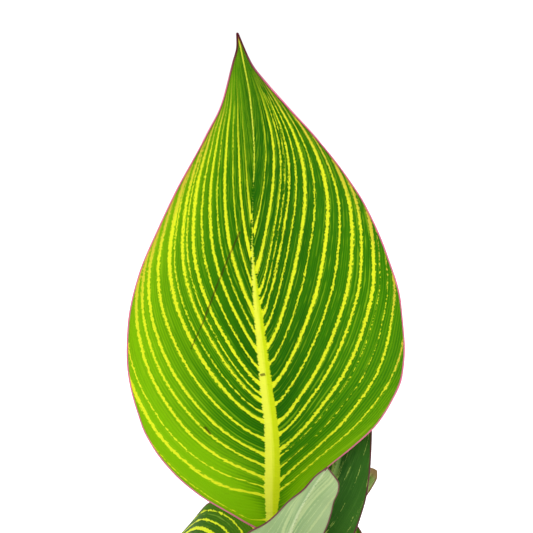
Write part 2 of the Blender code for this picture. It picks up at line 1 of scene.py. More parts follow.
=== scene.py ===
# %% [markdown]
# A striped canna lily in its pot
#
# The object is a young canna plant: a clay pot of soil, a rhizome with two stems, and nine leaves. Each leaf
# is a sheath rolled round the stem, a short stalk and a broad blade. This file dresses the plain solids of
# the part: the leaves are made again with finer faces and yellow stripes, and the soil gets its crumbs.

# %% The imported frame
import math
from dataclasses import dataclass

import bpy
import numpy as np
from mathutils import Matrix, Vector


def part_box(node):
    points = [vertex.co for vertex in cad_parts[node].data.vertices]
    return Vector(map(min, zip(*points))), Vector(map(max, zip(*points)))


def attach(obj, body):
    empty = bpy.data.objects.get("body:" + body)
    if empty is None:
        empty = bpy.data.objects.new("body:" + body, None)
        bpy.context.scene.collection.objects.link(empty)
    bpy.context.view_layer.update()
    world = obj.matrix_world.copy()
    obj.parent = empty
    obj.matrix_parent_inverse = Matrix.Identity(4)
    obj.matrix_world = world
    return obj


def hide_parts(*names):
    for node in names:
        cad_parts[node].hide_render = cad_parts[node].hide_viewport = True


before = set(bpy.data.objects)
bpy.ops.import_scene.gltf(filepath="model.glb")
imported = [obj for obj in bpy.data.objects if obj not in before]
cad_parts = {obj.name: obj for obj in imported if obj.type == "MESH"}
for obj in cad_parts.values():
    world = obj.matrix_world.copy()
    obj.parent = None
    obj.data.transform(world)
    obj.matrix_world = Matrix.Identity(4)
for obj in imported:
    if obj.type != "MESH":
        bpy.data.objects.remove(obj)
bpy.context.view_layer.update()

MM = 0.001

# %% [markdown]
# The view
#
# The photograph looks a little down on the upright leaf, square to its face. A camera that leans down by the
# leaf's own backward lean does the same, and a 60 mm lens keeps the blade's outline as it is seen there.

# %% The camera
VIEW_DOWN_DEGREES = 15.0
VIEW_DISTANCE = 0.622
VIEW_CENTRE = Vector((-0.0032, 0.0659, 0.6394))


def make_camera():
    down = math.radians(VIEW_DOWN_DEGREES)
    camera = bpy.data.objects.new("camera", bpy.data.cameras.new("camera"))
    camera.data.lens = 60
    camera.data.sensor_width = 36
    camera.location = VIEW_CENTRE - VIEW_DISTANCE * Vector((0, math.cos(down), -math.sin(down)))
    camera.rotation_euler = (math.radians(90) - down, 0, 0)
    bpy.context.scene.collection.objects.link(camera)
    bpy.context.scene.camera = camera
    return camera


camera = make_camera()
print("camera at", tuple(round(value, 3) for value in camera.location))

# %% [markdown]
# Adding nodes
#
# Every material here is a tree of nodes. One helper adds a node, gives it its settings, and fills its inputs
# with values or with the sockets of other nodes. It hands back the socket that the next node needs.


# %% The node helper and the colour helper
MATH = "ShaderNodeMath"
VECTOR_MATH = "ShaderNodeVectorMath"
MAP_RANGE = "ShaderNodeMapRange"
NOISE = "ShaderNodeTexNoise"


def add_node(tree, kind, inputs=None, output=0, **settings):
    """Adds a node with its settings and inputs, and returns one of its outputs."""
    node = tree.nodes.new(kind)
    for name, value in settings.items():
        setattr(node, name, value)
    for key, value in (inputs or {}).items():
        if isinstance(value, bpy.types.NodeSocket):
            tree.links.new(value, node.inputs[key])
        else:
            node.inputs[key].default_value = value
    return node.outputs[output] if len(node.outputs) else node


def linear(hex_colour):
    """A colour written as sRGB hex, as the linear values that Blender mixes."""
    parts = [int(hex_colour[place:place + 2], 16) / 255 for place in (1, 3, 5)]
    return (*[part / 12.92 if part <= 0.04045 else ((part + 0.055) / 1.055) ** 2.4 for part in parts], 1.0)


def new_tree(name):
    material = bpy.data.materials.new(name)
    material.use_nodes = True
    material.node_tree.nodes.clear()
    return material, material.node_tree


# %% [markdown]
# The studio
#
# The background is pure white and the leaf is lit from behind, so the stripes glow. A white world gives the
# even light, a sun behind the leaf's upper left shines through it, and a large soft lamp fills in from the
# front.

# %% World, lamps and floor
WORLD_STRENGTH = 0.85
FLOOR_SIZE = 12.0


def make_world():
    world = bpy.data.worlds.new("white_studio")
    world.use_nodes = True
    background = world.node_tree.nodes["Background"]
    background.inputs["Color"].default_value = (1.0, 1.0, 1.0, 1.0)
    lights = add_node(world.node_tree, "ShaderNodeLightPath", output="Is Camera Ray")
    strength = add_node(world.node_tree, "ShaderNodeMix", {0: lights, 2: WORLD_STRENGTH, 3: 1.05}, output=0)
    world.node_tree.links.new(strength, background.inputs["Strength"])
    bpy.context.scene.world = world
    bpy.context.scene.view_settings.view_transform = "Standard"


def make_lamp(name, kind, place, target, energy, size):
    data = bpy.data.lights.new(name, kind)
    data.energy = energy
    if kind == "SUN":
        data.angle = math.radians(size)
    else:
        data.size = size
    lamp = bpy.data.objects.new(name, data)
    lamp.location = place
    lamp.rotation_euler = (Vector(target) - Vector(place)).to_track_quat("-Z", "Y").to_euler()
    bpy.context.scene.collection.objects.link(lamp)


def make_floor():
    """A white floor that is bright enough to meet the white world without an edge."""
    half = FLOOR_SIZE / 2
    mesh = bpy.data.meshes.new("floor")
    corners = [(-half, -half, 0), (half, -half, 0), (half, half, 0), (-half, half, 0)]
    mesh.from_pydata(corners, [], [(0, 1, 2, 3)])
    floor = bpy.data.objects.new("floor", mesh)
    bpy.context.scene.collection.objects.link(floor)
    material, tree = new_tree("white_paper_sweep")
    paper = add_node(tree, "ShaderNodeBsdfDiffuse", {"Color": linear("#FAFAFA")})
    glow = add_node(tree, "ShaderNodeEmission", {"Color": (1.0, 1.0, 1.0, 1.0), "Strength": 0.45})
    both = add_node(tree, "ShaderNodeAddShader", {0: paper, 1: glow})
    add_node(tree, "ShaderNodeOutputMaterial", {"Surface": both})
    mesh.materials.append(material)


make_world()
make_lamp("sun_behind", "SUN", (-0.9, 1.3, 2.0), (0.0, 0.05, 0.6), 1.35, 6.0)
make_lamp("soft_front", "AREA", (-0.9, -1.5, 1.6), (0.0, 0.0, 0.45), 14.0, 1.2)
make_floor()
print("lamps", [item.name for item in bpy.data.lights])

# %% [markdown]
# The leaf's form
#
# A canna leaf is one thin sheet. Laid flat it has a midrib, and side veins that run out from the midrib and
# sweep up to the margin, all the way to the tip. A grid whose rows follow those veins lets the faces and the
# stripes run the same way. The flat grid is then bent: rolled round the stem at its foot, arched along the
# midrib, cupped, folded and waved. The outlines and bends are those of the part's solids. The rows are closer
# together here, and follow the stripes of a real leaf more nearly.

# %% Sizes of the leaves and stems
GAP = 0.3 * MM
STEM_FOOT_RADIUS = 0.0092
SHEATH_THICKNESS = 1.2 * MM
BLADE_THICKNESS = 0.8 * MM
TIP_THICKNESS = 0.6 * MM
SHEATH_WRAP = 0.92
SHEATH_OVERLAP = 0.010
SHEATH_FLARE = 0.008
SHEATH_CLEARANCE = 2 * GAP
FACET_ALLOWANCE = 1.055
SHOULDER_SPREAD = 0.18
SHOULDER_LENGTH = 0.020
STALK_HALF_WIDTH = 0.0058
MIDRIB_HALF_WIDTH = 0.0056
KEEL_DEPTH = 0.0042
CHANNEL_DEPTH = 0.5 * MM
TIP_HALF_WIDTH = 0.8 * MM
FOOT_SHARE = 0.10
VEIN_SWEEP = 6.3
STRAIGHT_PART = 0.34
STRAIGHT_FROM = 0.09
STRAIGHT_UNTIL = 0.45
LEFT_LATE_TURN = (1.0, 12.0, 0.0855)
RIGHT_LATE_TURN = (1.3, 10.0, 0.075)
LEFT_EARLY_TURN = (0.9, 7.0, 3)
RIGHT_EARLY_TURN = (1.0, 36.0, 4)
STEEPEST_TURN = 8.0
LAST_ROW = 1.90
OPENED_SHARE = 0.12
WAVE_LAG = 1.9
CALM_SHARE = 0.15
PATH_STEPS = 320
NORMAL_STEP = 0.2 * MM

PLAIN_OUTLINE = (
    (0.0, 0.0), (0.04, 0.20), (0.09, 0.48), (0.15, 0.71), (0.22, 0.88), (0.32, 0.99),
    (0.40, 1.00), (0.50, 0.93), (0.60, 0.80), (0.70, 0.62), (0.80, 0.38), (0.89, 0.16),
    (0.96, 0.04), (1.0, 0.01),
)
STRIPED_HALF_WIDTH = 0.0995
STRIPED_BLADE_LENGTH = 0.351
STRIPED_LEFT = (
    (0.0, 0.0), (0.03, 0.20), (0.078, 0.50), (0.126, 0.695), (0.173, 0.825), (0.22, 0.90),
    (0.317, 0.937), (0.412, 0.902), (0.508, 0.806), (0.60, 0.656), (0.70, 0.492), (0.795, 0.319),
    (0.843, 0.221), (0.89, 0.148), (0.938, 0.074), (0.97, 0.022), (1.0, 0.0),
)
STRIPED_RIGHT = (
    (0.0, 0.0), (0.03, 0.063), (0.078, 0.206), (0.126, 0.376), (0.173, 0.567), (0.22, 0.732),
    (0.27, 0.857), (0.317, 0.942), (0.39, 0.99), (0.46, 0.996), (0.556, 0.919), (0.65, 0.774),
    (0.70, 0.662), (0.795, 0.406), (0.843, 0.262), (0.89, 0.136), (0.938, 0.044), (1.0, 0.0),
)
STRIPED_SWAY = (
    (0.0, 0.0), (0.13, 0.001), (0.20, 0.0004), (0.27, -0.0025), (0.41, -0.008), (0.50, -0.0115),
    (0.59, -0.0133), (0.67, -0.0126), (0.75, -0.0117), (0.85, -0.014), (0.93, -0.0185), (1.0, -0.0238),
)
FRONT_LEFT = (
    (0.0, 0.0), (0.04, 0.20), (0.09, 0.48), (0.15, 0.68), (0.22, 0.80), (0.32, 0.84), (0.45, 0.78),
    (0.60, 0.66), (0.70, 0.63), (0.78, 0.60), (0.85, 0.53), (0.91, 0.47), (0.96, 0.36), (1.0, 0.0),
)
FRONT_RIGHT = (
    (0.0, 0.0), (0.04, 0.20), (0.09, 0.48), (0.15, 0.71), (0.22, 0.88), (0.32, 0.97), (0.42, 0.92),
    (0.52, 0.76), (0.62, 0.49), (0.72, 0.28), (0.82, 0.15), (0.92, 0.08), (1.0, 0.0),
)
DRY_OUTLINE = (
    (0.0, 0.0), (0.04, 0.20), (0.09, 0.48), (0.15, 0.71), (0.22, 0.88), (0.32, 0.99), (0.40, 1.00),
    (0.50, 0.90), (0.60, 0.72), (0.70, 0.54), (0.80, 0.42), (0.90, 0.36), (0.96, 0.30), (1.0, 0.10),
)
NO_SWAY = ((0.0, 0.0), (1.0, 0.0))


# %% Shoots and leaves
@dataclass
class Shoot:
    """A stem: where it stands, how it leans, and its radius from foot to top."""

    foot: tuple
    lean_degrees: float
    lean_azimuth: float
    foot_height: float
    top_height: float
    top_radius: float

    def placement(self):
        turn = Matrix.Rotation(math.radians(self.lean_azimuth), 4, "Z")
        lean = Matrix.Rotation(math.radians(self.lean_degrees), 4, "Y")
        foot = Vector((self.foot[0], self.foot[1], self.foot_height))
        stand = Matrix.Translation((self.foot[0], self.foot[1], 0.0))
        return Matrix.Translation(foot) @ turn @ lean @ turn.inverted() @ Matrix.Translation(-foot) @ stand

    def radius_at(self, height):
        share = (height - self.foot_height) / (self.top_height - self.foot_height)
        return STEM_FOOT_RADIUS + (self.top_radius - STEM_FOOT_RADIUS) * min(max(share, 0.0), 1.0)


@dataclass
class Leaf:
    """One leaf. Distances run along the midrib from the node, and lean is measured from upright."""

    name: str
    shoot: Shoot
    azimuth: float
    node_height: float
    next_node_height: float
    blade_start: float
    blade_length: float
    half_width: float
    leans: tuple
    look: str = "older"
    swings: tuple = ((0.0, 0.0), (1.0, 0.0))
    rolls: tuple = ((0.0, 0.0), (1.0, 0.0))
    left_outline: tuple = PLAIN_OUTLINE
    right_outline: tuple = PLAIN_OUTLINE
    sway: tuple = NO_SWAY
    fold_degrees: float = 10.0
    cupping: float = 2.0
    opening: float = 0.03
    wave_height: float = 0.004
    wave_length: float = 0.075
    wave_phase: float = 0.0
    has_next: bool = True
    rows: int = 70
    columns: int = 14


MAIN = Shoot(foot=(0.0, 0.0), lean_degrees=0.0, lean_azimuth=0.0, foot_height=0.172,
             top_height=0.378, top_radius=0.0050)
SIDE = Shoot(foot=(0.050, 0.044), lean_degrees=7.0, lean_azimuth=35.0, foot_height=0.170,
             top_height=0.300, top_radius=0.0042)

LEAVES = (
    Leaf("leaf_low_right", MAIN, azimuth=-32, node_height=0.180, next_node_height=0.212,
         blade_start=0.105, blade_length=0.260, half_width=0.054,
         leans=((0.0, 0), (0.052, 0), (0.10, 26), (0.18, 52), (0.28, 90), (0.365, 120)),
         fold_degrees=14, wave_phase=0.4),
    Leaf("leaf_low_left", MAIN, azimuth=-120, node_height=0.212, next_node_height=0.245,
         blade_start=0.105, blade_length=0.265, half_width=0.056,
         leans=((0.0, 0), (0.053, 0), (0.10, 28), (0.18, 55), (0.28, 92), (0.37, 122)),
         fold_degrees=12, wave_phase=2.1),
    Leaf("leaf_right", MAIN, azimuth=45, node_height=0.245, next_node_height=0.279,
         blade_start=0.165, blade_length=0.185, half_width=0.026, look="shaded",
         leans=((0.0, 0), (0.054, 0), (0.09, 10), (0.16, 14), (0.20, 24), (0.35, 20)),
         rolls=((0.0, 0), (0.08, 0), (0.18, -30), (0.4, -30)),
         fold_degrees=8, wave_height=0.003, wave_phase=1.0),
    Leaf("leaf_left", MAIN, azimuth=143, node_height=0.279, next_node_height=0.312,
         blade_start=0.109, blade_length=0.222, half_width=0.050, look="left",
         leans=((0.0, 0), (0.053, 0), (0.07, 1), (0.114, 1), (0.152, 80), (0.186, 114),
                (0.240, 136), (0.350, 150)),
         rolls=((0.0, 0), (0.106, 0), (0.146, 15), (0.196, 12), (0.246, 0)),
         fold_degrees=20, wave_height=0.002, wave_phase=3.0),
    Leaf("leaf_front", MAIN, azimuth=-90, node_height=0.312, next_node_height=0.345,
         blade_start=0.082, blade_length=0.140, half_width=0.035,
         leans=((0.0, 0), (0.053, 0), (0.11, 5), (0.165, 16), (0.224, 38)),
         swings=((0.0, 0), (0.09, 20), (0.12, 90), (1.0, 90)), left_outline=FRONT_LEFT,
         right_outline=FRONT_RIGHT,
         fold_degrees=12, wave_height=0.002, wave_length=0.032, wave_phase=0.5),
    Leaf("leaf_striped", MAIN, azimuth=90, node_height=0.345, next_node_height=0.372,
         blade_start=0.115, blade_length=STRIPED_BLADE_LENGTH, half_width=STRIPED_HALF_WIDTH, look="bright",
         leans=((0.0, 0), (0.045, 0), (0.115, 15), (0.30, 13.5), (0.40, 16), (0.466, 22)),
         left_outline=STRIPED_LEFT, right_outline=STRIPED_RIGHT, sway=STRIPED_SWAY,
         fold_degrees=6, cupping=1.2, opening=0.012, wave_height=0.0035, wave_length=0.11,
         has_next=False, rows=150, columns=26),
    Leaf("side_leaf_right", SIDE, azimuth=-8, node_height=0.180, next_node_height=0.213,
         blade_start=0.095, blade_length=0.225, half_width=0.046,
         leans=((0.0, 0), (0.053, 0), (0.11, 28), (0.18, 52), (0.25, 84), (0.32, 108)),
         fold_degrees=14, wave_phase=0.9),
    Leaf("side_leaf_back", SIDE, azimuth=118, node_height=0.213, next_node_height=0.246,
         blade_start=0.095, blade_length=0.220, half_width=0.044,
         leans=((0.0, 0), (0.053, 0), (0.11, 26), (0.18, 54), (0.25, 92), (0.315, 120)),
         fold_degrees=12, wave_phase=2.6),
    Leaf("side_leaf_dry_tip", SIDE, azimuth=150, node_height=0.246, next_node_height=0.278,
         blade_start=0.088, blade_length=0.158, half_width=0.017, look="dry_tip",
         leans=((0.0, 0), (0.048, 0), (0.075, 16), (0.116, 16), (0.156, 1), (0.196, -22), (0.249, -27)),
         rolls=((0.0, 0), (0.12, 0), (0.20, 60), (0.3, 60)),
         left_outline=DRY_OUTLINE, right_outline=DRY_OUTLINE,
         fold_degrees=8, wave_height=0.001, wave_length=0.04, has_next=False),
)
print("leaves", len(LEAVES))


# %% The flat leaf
def between(table, position):
    """Reads a table of (position, value) pairs, with straight runs between them."""
    return np.interp(position, [row[0] for row in table], [row[1] for row in table])


def rounded(table, position):
    """Reads such a table as a smooth curve through its points, which swings past none of them."""
    places, values = np.array(table).T
    widths = np.diff(places)
    slopes = np.diff(values) / widths
    before, after = slopes[:-1], slopes[1:]
    same_way = before * after > 0
    middle = np.where(same_way, 2 * before * after / np.where(same_way, before + after, 1.0), 0.0)
    gradients = np.concatenate([slopes[:1], middle, slopes[-1:]])
    position = np.clip(position, places[0], places[-1])
    cell = np.clip(np.searchsorted(places, position, side="right") - 1, 0, len(widths) - 1)
    share = (position - places[cell]) / widths[cell]
    rise = (values[cell + 1] - values[cell]) * share ** 2 * (3 - 2 * share)
    leave = gradients[cell] * widths[cell] * share * (1 - share) ** 2
    arrive = gradients[cell + 1] * widths[cell] * share ** 2 * (1 - share)
    return values[cell] + rise + leave - arrive


def smooth_step(share):
    share = np.clip(share, 0.0, 1.0)
    return share * share * (3 - 2 * share)


def margin_share(origin):
    """How far up the margin a side vein ends, when it leaves the midrib at the share origin of the length."""
    return (1 - np.exp(-VEIN_SWEEP * origin)) / (1 - math.exp(-VEIN_SWEEP))


def vein_origins(count):
    """Where the rows of a blade leave its midrib, spaced evenly along midrib and margin together."""
    fine = np.linspace(0.0, 1.0, 4000)
    wanted = LAST_ROW * np.arange(1, count + 1) / count
    return np.interp(wanted, fine + margin_share(fine), fine)


def stoutness(leaf):
    """How thick a leaf's stalk and midrib are, as a share of the big striped leaf's."""
    return 0.5 + 0.5 * leaf.half_width / STRIPED_HALF_WIDTH


def half_width_at(leaf, side, share):
    """From the midrib's middle to one margin: as wide as the stalk at the foot, and never quite nothing."""
    left = rounded(leaf.left_outline, share)
    right = rounded(leaf.right_outline, share)
    blade = leaf.half_width * np.where(side > 0, right, left) + TIP_HALF_WIDTH * share
    return blade + STALK_HALF_WIDTH * stoutness(leaf) * (1 - smooth_step(share / FOOT_SHARE))


def midrib_half_width(leaf, share):
    widened = 0.6 + 0.4 * smooth_step(share / FOOT_SHARE)
    return MIDRIB_HALF_WIDTH * stoutness(leaf) * widened * (1 - 0.93 * smooth_step(share * 1.15))


def vein_turns(side, origin):
    """How a side vein climbs: how late it turns up, how soon it has risen, and the share it climbs evenly."""
    least, extra, fade = RIGHT_LATE_TURN if side > 0 else LEFT_LATE_TURN
    early, growth, power = RIGHT_EARLY_TURN if side > 0 else LEFT_EARLY_TURN
    early = min(early + growth * origin ** power, STEEPEST_TURN)
    begun = 1 - math.exp(-(origin / STRAIGHT_FROM) ** 2)
    straight = STRAIGHT_PART * begun * max(1 - origin / STRAIGHT_UNTIL, 0)
    return least + extra * math.exp(-origin / fade), early, straight


def vein_points(leaf, side, origin, shares):
    """Points of a flat blade along the side vein from origin on the midrib, at shares of the way out."""
    late, early, straight = vein_turns(side, origin)
    risen = straight * shares + (1 - straight) * (1 - (1 - shares ** late) ** early)
    height = origin + (margin_share(origin) - origin) * risen
    rib = midrib_half_width(leaf, height)
    across = rib + (half_width_at(leaf, side, height) - rib) * shares
    return side * across, leaf.blade_start + height * leaf.blade_length


def sheath_end(leaf):
    return leaf.next_node_height - leaf.node_height + SHEATH_OVERLAP


RIB_SHARES = np.array([0.25, 0.5, 0.75])
STATION_STEP = 0.003


def flat_rows(leaf):
    """The leaf laid flat, as rows from the left margin to the right, and each row's place on the midrib."""
    shares = 1 - (1 - np.linspace(0.0, 1.0, leaf.columns + 1)) ** 1.3
    stalk = STALK_HALF_WIDTH * stoutness(leaf)
    rows, origins = [], []
    foot_rows = max(int(leaf.blade_start / STATION_STEP), 2)
    for along in np.linspace(0.0, leaf.blade_start, foot_rows):
        rib = midrib_half_width(leaf, 0.0)
        wrapped = SHEATH_WRAP * math.pi * sheath_radius(leaf, along)
        width = wrapped + (stalk - wrapped) * smooth_step((along - sheath_end(leaf)) / SHOULDER_LENGTH)
        half = np.concatenate([rib * RIB_SHARES, rib + (width - rib) * shares])
        across = np.concatenate([-half[::-1], [0.0], half])
        rows.append(np.stack([across, np.full_like(across, along)], axis=1))
        origins.append((along - leaf.blade_start) / leaf.blade_length)
    for origin in vein_origins(leaf.rows):
        middle = leaf.blade_start + origin * leaf.blade_length
        halves = []
        for side in (-1, 1):
            across, along = vein_points(leaf, side, origin, shares)
            inner = side * midrib_half_width(leaf, origin) * RIB_SHARES
            inner = np.stack([inner, np.full_like(inner, middle)], axis=1)
            halves.append(np.concatenate([inner, np.stack([across, along], axis=1)]))
        rows.append(np.concatenate([halves[0][::-1], [[0.0, middle]], halves[1]]))
        origins.append(origin)
    return np.array(rows), np.array(origins)


# %% Bending the leaf
def node_radius(shoot, height):
    """The radius of a sheath's middle where it starts, just clear of the stem."""
    return shoot.radius_at(height) * FACET_ALLOWANCE + SHEATH_THICKNESS / 2 + GAP


def sheath_radius(leaf, along):
    """The radius of the rolled sheath's middle. Its top flares to clear the next sheath inside it."""
    foot = node_radius(leaf.shoot, leaf.node_height)
    top = foot
    if leaf.has_next:
        next_radius = node_radius(leaf.shoot, leaf.next_node_height)
        top = next_radius * FACET_ALLOWANCE + SHEATH_THICKNESS + SHEATH_CLEARANCE
    flared = sheath_end(leaf) - SHEATH_OVERLAP
    opened = foot + (top - foot) * smooth_step(1 - (flared - along) / SHEATH_FLARE)
    return opened + SHOULDER_SPREAD * np.clip(along - sheath_end(leaf), 0.0, SHOULDER_LENGTH)


def midrib_path(leaf):
    """Distances, points and directions along the midrib. The axes are out from the stem, sideways and up."""
    distances = np.linspace(0.0, leaf.blade_start + leaf.blade_length, PATH_STEPS + 1)
    lean = np.radians(between(leaf.leans, distances))
    swing = np.radians(between(leaf.swings, distances))
    directions = np.stack([np.sin(lean) * np.cos(swing), np.sin(lean) * np.sin(swing), np.cos(lean)], axis=1)
    steps = directions[:-1] * (distances[1] - distances[0])
    places = np.vstack([np.zeros(3), np.cumsum(steps, axis=0)])
    places[:, 0] += sheath_radius(leaf, distances)
    places[:, 2] += leaf.node_height
    return distances, places, directions


def unit(vectors):
    return vectors / np.linalg.norm(vectors, axis=-1, keepdims=True)


def bend(leaf, path, flat):
    """Takes flat (across, along) points to the leaf's real form: rolled round the stem, arched and waved."""
    across, along = flat[..., 0], flat[..., 1]
    distances, places, directions = path
    place = np.stack([np.interp(along, distances, places[:, axis]) for axis in range(3)], axis=-1)
    tangent = unit(np.stack([np.interp(along, distances, directions[:, axis]) for axis in range(3)], axis=-1))
    level = np.array([0.0, -1.0, 0.0])
    level = unit(level - tangent * (tangent @ level)[..., None])
    facing = np.cross(level, tangent)
    roll = np.radians(between(leaf.rolls, along))[..., None]
    right = level * np.cos(roll) + facing * np.sin(roll)
    inward = facing * np.cos(roll) - level * np.sin(roll)

    share = np.clip((along - leaf.blade_start) / leaf.blade_length, 0.0, 1.0)
    rolled = 1 / sheath_radius(leaf, along)
    curve = leaf.cupping + (rolled - leaf.cupping) * np.exp(-share / leaf.opening)
    sideways = np.sin(curve * across) / curve + rounded(leaf.sway, share)
    raised = (1 - np.cos(curve * across)) / curve

    opened = smooth_step(share / OPENED_SHARE)
    edge = np.clip(np.abs(across) / half_width_at(leaf, across, share), 0.0, 1.0)
    turn = 2 * math.pi * along / leaf.wave_length + leaf.wave_phase + np.where(across > 0, WAVE_LAG, 0.0)
    raised += math.tan(math.radians(leaf.fold_degrees)) * np.abs(across) * opened
    raised += leaf.wave_height * np.sin(turn) * edge ** 2 * opened * smooth_step((1 - share) / CALM_SHARE)
    return place + right * sideways[..., None] + inward * raised[..., None]


def surface_normals(leaf, path, flat):
    """A unit normal on the upper side, from how the bent leaf runs a little to each side of a point."""
    sideways = np.array([NORMAL_STEP, 0.0])
    onward = np.array([0.0, NORMAL_STEP])
    across = bend(leaf, path, flat + sideways) - bend(leaf, path, flat - sideways)
    along = bend(leaf, path, flat + onward) - bend(leaf, path, flat - onward)
    return unit(np.cross(across, along))


# %% [markdown]
# Marks for the paint
#
# The stripes follow the veins, and their edges are sharp to half a millimetre. So each point of the leaf is
# told, in millimetres, where its vein leaves the midrib and how far it is from the midrib, the margin and the
# foot. It is also told how close the veins have come together there, its share of the way out to the margin,
# and how far square to the veins a millimetre up the blade takes it. The materials read these as attributes.


# %% Leaf attributes and mesh
def reach_at(leaf, flat):
    """How far out flat points are, as a share of the way from the midrib's edge to the margin."""
    share = np.clip((flat[..., 1] - leaf.blade_start) / leaf.blade_length, 0.0, 1.0)
    rib = midrib_half_width(leaf, share)
    return (np.abs(flat[..., 0]) - rib) / (half_width_at(leaf, flat[..., 0], share) - rib)


def stripe_slant(leaf, flat):
    """What a millimetre up the blade, at the same share of the way out, is worth square to the veins."""
    reach = reach_at(leaf, flat)
    run = np.gradient(reach, axis=1)
    climb = np.gradient(flat[..., 1], axis=1) / np.where(np.abs(run) < 1e-6, 1.0, run)
    sideways = np.array([NORMAL_STEP, 0.0])
    onward = np.array([0.0, NORMAL_STEP])
    outward = (reach_at(leaf, flat + sideways) - reach_at(leaf, flat - sideways)) / (2 * NORMAL_STEP)
    upward = (reach_at(leaf, flat + onward) - reach_at(leaf, flat - onward)) / (2 * NORMAL_STEP)
    return 1 / np.hypot(climb * outward, 1 - climb * upward)


def leaf_marks(leaf, flat, origins, points):
    """The numbers that the leaf's materials read, in millimetres, for each point of one face."""
    across, along = flat[..., 0], flat[..., 1]
    share = np.clip((along - leaf.blade_start) / leaf.blade_length, 0.0, 1.0)
    side = np.where(across > 0, 1.0, -1.0)
    width = half_width_at(leaf, side, share)
    slope = (half_width_at(leaf, side, np.minimum(share + 0.01, 1.0)) - width) / (0.01 * leaf.blade_length)
    margin = (width - np.abs(across)) / np.sqrt(1 + slope ** 2)
    margin[share <= 0.0] = 5 * MM
    vein = np.repeat((origins * leaf.blade_length)[:, None], across.shape[1], axis=1)
    along_vein = unit(np.gradient(points, axis=1))
    apart = np.gradient(points, axis=0) / np.gradient(vein, axis=0)[..., None]
    marks = {
        "vein": vein / MM,
        "along": (along - leaf.blade_start) / MM,
        "across": across / MM,
        "rib": (np.abs(across) - midrib_half_width(leaf, share)) / MM,
        "margin": margin / MM,
        "spacing": np.linalg.norm(np.cross(apart, along_vein), axis=-1),
        "reach": np.clip(reach_at(leaf, flat), 0.0, 1.0),
        "slant": stripe_slant(leaf, flat),
    }
    return marks


def leaf_layers(leaf):
    """The two faces of a leaf, the two points of its tip, and the marks of each point."""
    path = midrib_path(leaf)
    flat, origins = flat_rows(leaf)
    share = (flat[..., 1] - leaf.blade_start) / leaf.blade_length
    thickness = SHEATH_THICKNESS + (BLADE_THICKNESS - SHEATH_THICKNESS) * smooth_step((share + 0.15) / 0.2)
    rib = np.clip(np.abs(flat[..., 0]) / midrib_half_width(leaf, np.clip(share, 0, 1)), 0.0, 1.0)
    grown = stoutness(leaf) * smooth_step((share + 0.15) / 0.15) * (1 - smooth_step(share * 1.1))
    keel = KEEL_DEPTH * grown * (1 - rib ** 2)
    channel = CHANNEL_DEPTH * grown * (1 - rib ** 2)
    points = bend(leaf, path, flat)
    normals = surface_normals(leaf, path, flat)
    marks = leaf_marks(leaf, flat, origins, points)
    tip_flat = np.array([0.0, leaf.blade_start + leaf.blade_length])
    tip = bend(leaf, path, tip_flat)
    tip_normal = surface_normals(leaf, path, tip_flat - np.array([0.0, NORMAL_STEP]))
    upper = points + normals * (thickness / 2 - channel)[..., None]
    lower = points - normals * (thickness / 2 + keel)[..., None]
    tips = (tip + tip_normal * TIP_THICKNESS / 2, tip - tip_normal * TIP_THICKNESS / 2)
    return (upper, lower), tips, marks


def leaf_faces(row_count, column_count):
    """The faces of a closed leaf, and which of its two materials each one has."""
    count = row_count * column_count
    numbers = np.arange(count).reshape(row_count, column_count)
    corners = [numbers[:-1, :-1], numbers[:-1, 1:], numbers[1:, 1:], numbers[1:, :-1]]
    quads = np.stack(corners, axis=-1).reshape(-1, 4)
    below = count + 1
    faces = quads.tolist() + (quads[:, ::-1] + below).tolist()
    slots = [0] * len(quads) + [1] * len(quads)
    last, first, tip = numbers[-1], numbers[0], count
    rim = []
    for left, right in zip(last[:-1], last[1:]):
        faces += [(left, right, tip), (right + below, left + below, tip + below)]
        slots += [0, 1]
    for left, right in zip(first[:-1], first[1:]):
        rim.append((right, left, left + below, right + below))
    for column, turned in ((0, False), (column_count - 1, True)):
        edge = [*numbers[:, column], tip]
        for start, end in zip(edge[:-1], edge[1:]):
            face = (start, end, end + below, start + below)
            rim.append(face[::-1] if turned else face)
    return [[int(number) for number in face] for face in faces + rim], slots + [0] * len(rim)


def make_leaf(leaf, upper_material, lower_material):
    (upper, lower), tips, marks = leaf_layers(leaf)
    row_count, column_count = upper.shape[:2]
    layers = [np.vstack([face.reshape(-1, 3), tip]) for face, tip in zip((upper, lower), tips)]
    placement = leaf.shoot.placement() @ Matrix.Rotation(math.radians(leaf.azimuth), 4, "Z")
    turn = np.array(placement)
    points = np.vstack(layers) @ turn[:3, :3].T + turn[:3, 3]
    faces, slots = leaf_faces(row_count, column_count)
    mesh = bpy.data.meshes.new(leaf.name + "_blade")
    mesh.from_pydata(points.tolist(), [], faces)
    mesh.materials.append(upper_material)
    mesh.materials.append(lower_material)
    mesh.polygons.foreach_set("material_index", slots)
    mesh.shade_smooth()
    mesh.set_sharp_from_angle(angle=math.radians(60))
    for name, values in marks.items():
        length = leaf.blade_length / MM
        at_tip = {"vein": length, "along": length, "spacing": 0.05, "slant": 1.0}.get(name, 0.0)
        layer = np.append(values.reshape(-1), at_tip)
        attribute = mesh.attributes.new(name, "FLOAT", "POINT")
        attribute.data.foreach_set("value", np.tile(layer, 2).astype(np.float32))
    piece = bpy.data.objects.new(leaf.name + "_dressed", mesh)
    bpy.context.scene.collection.objects.link(piece)
    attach(piece, "root")
    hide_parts(leaf.name)
    return piece


# %% [markdown]
# The leaf's paint
#
# A striped canna's leaf is green, and along some of its veins the green is missing, which leaves ragged
# yellow stripes. On the big leaf each stripe has its own place on the midrib and on the margin. On the other
# leaves they come at an even pitch with a random width. Thin living tissue lets light through, so a Translucent
# shader is mixed with the Principled one, and the leaf glows where the sun is behind it.

# %% Stripes of the big leaf
STRIPED_BLADE_MM = STRIPED_BLADE_LENGTH / MM

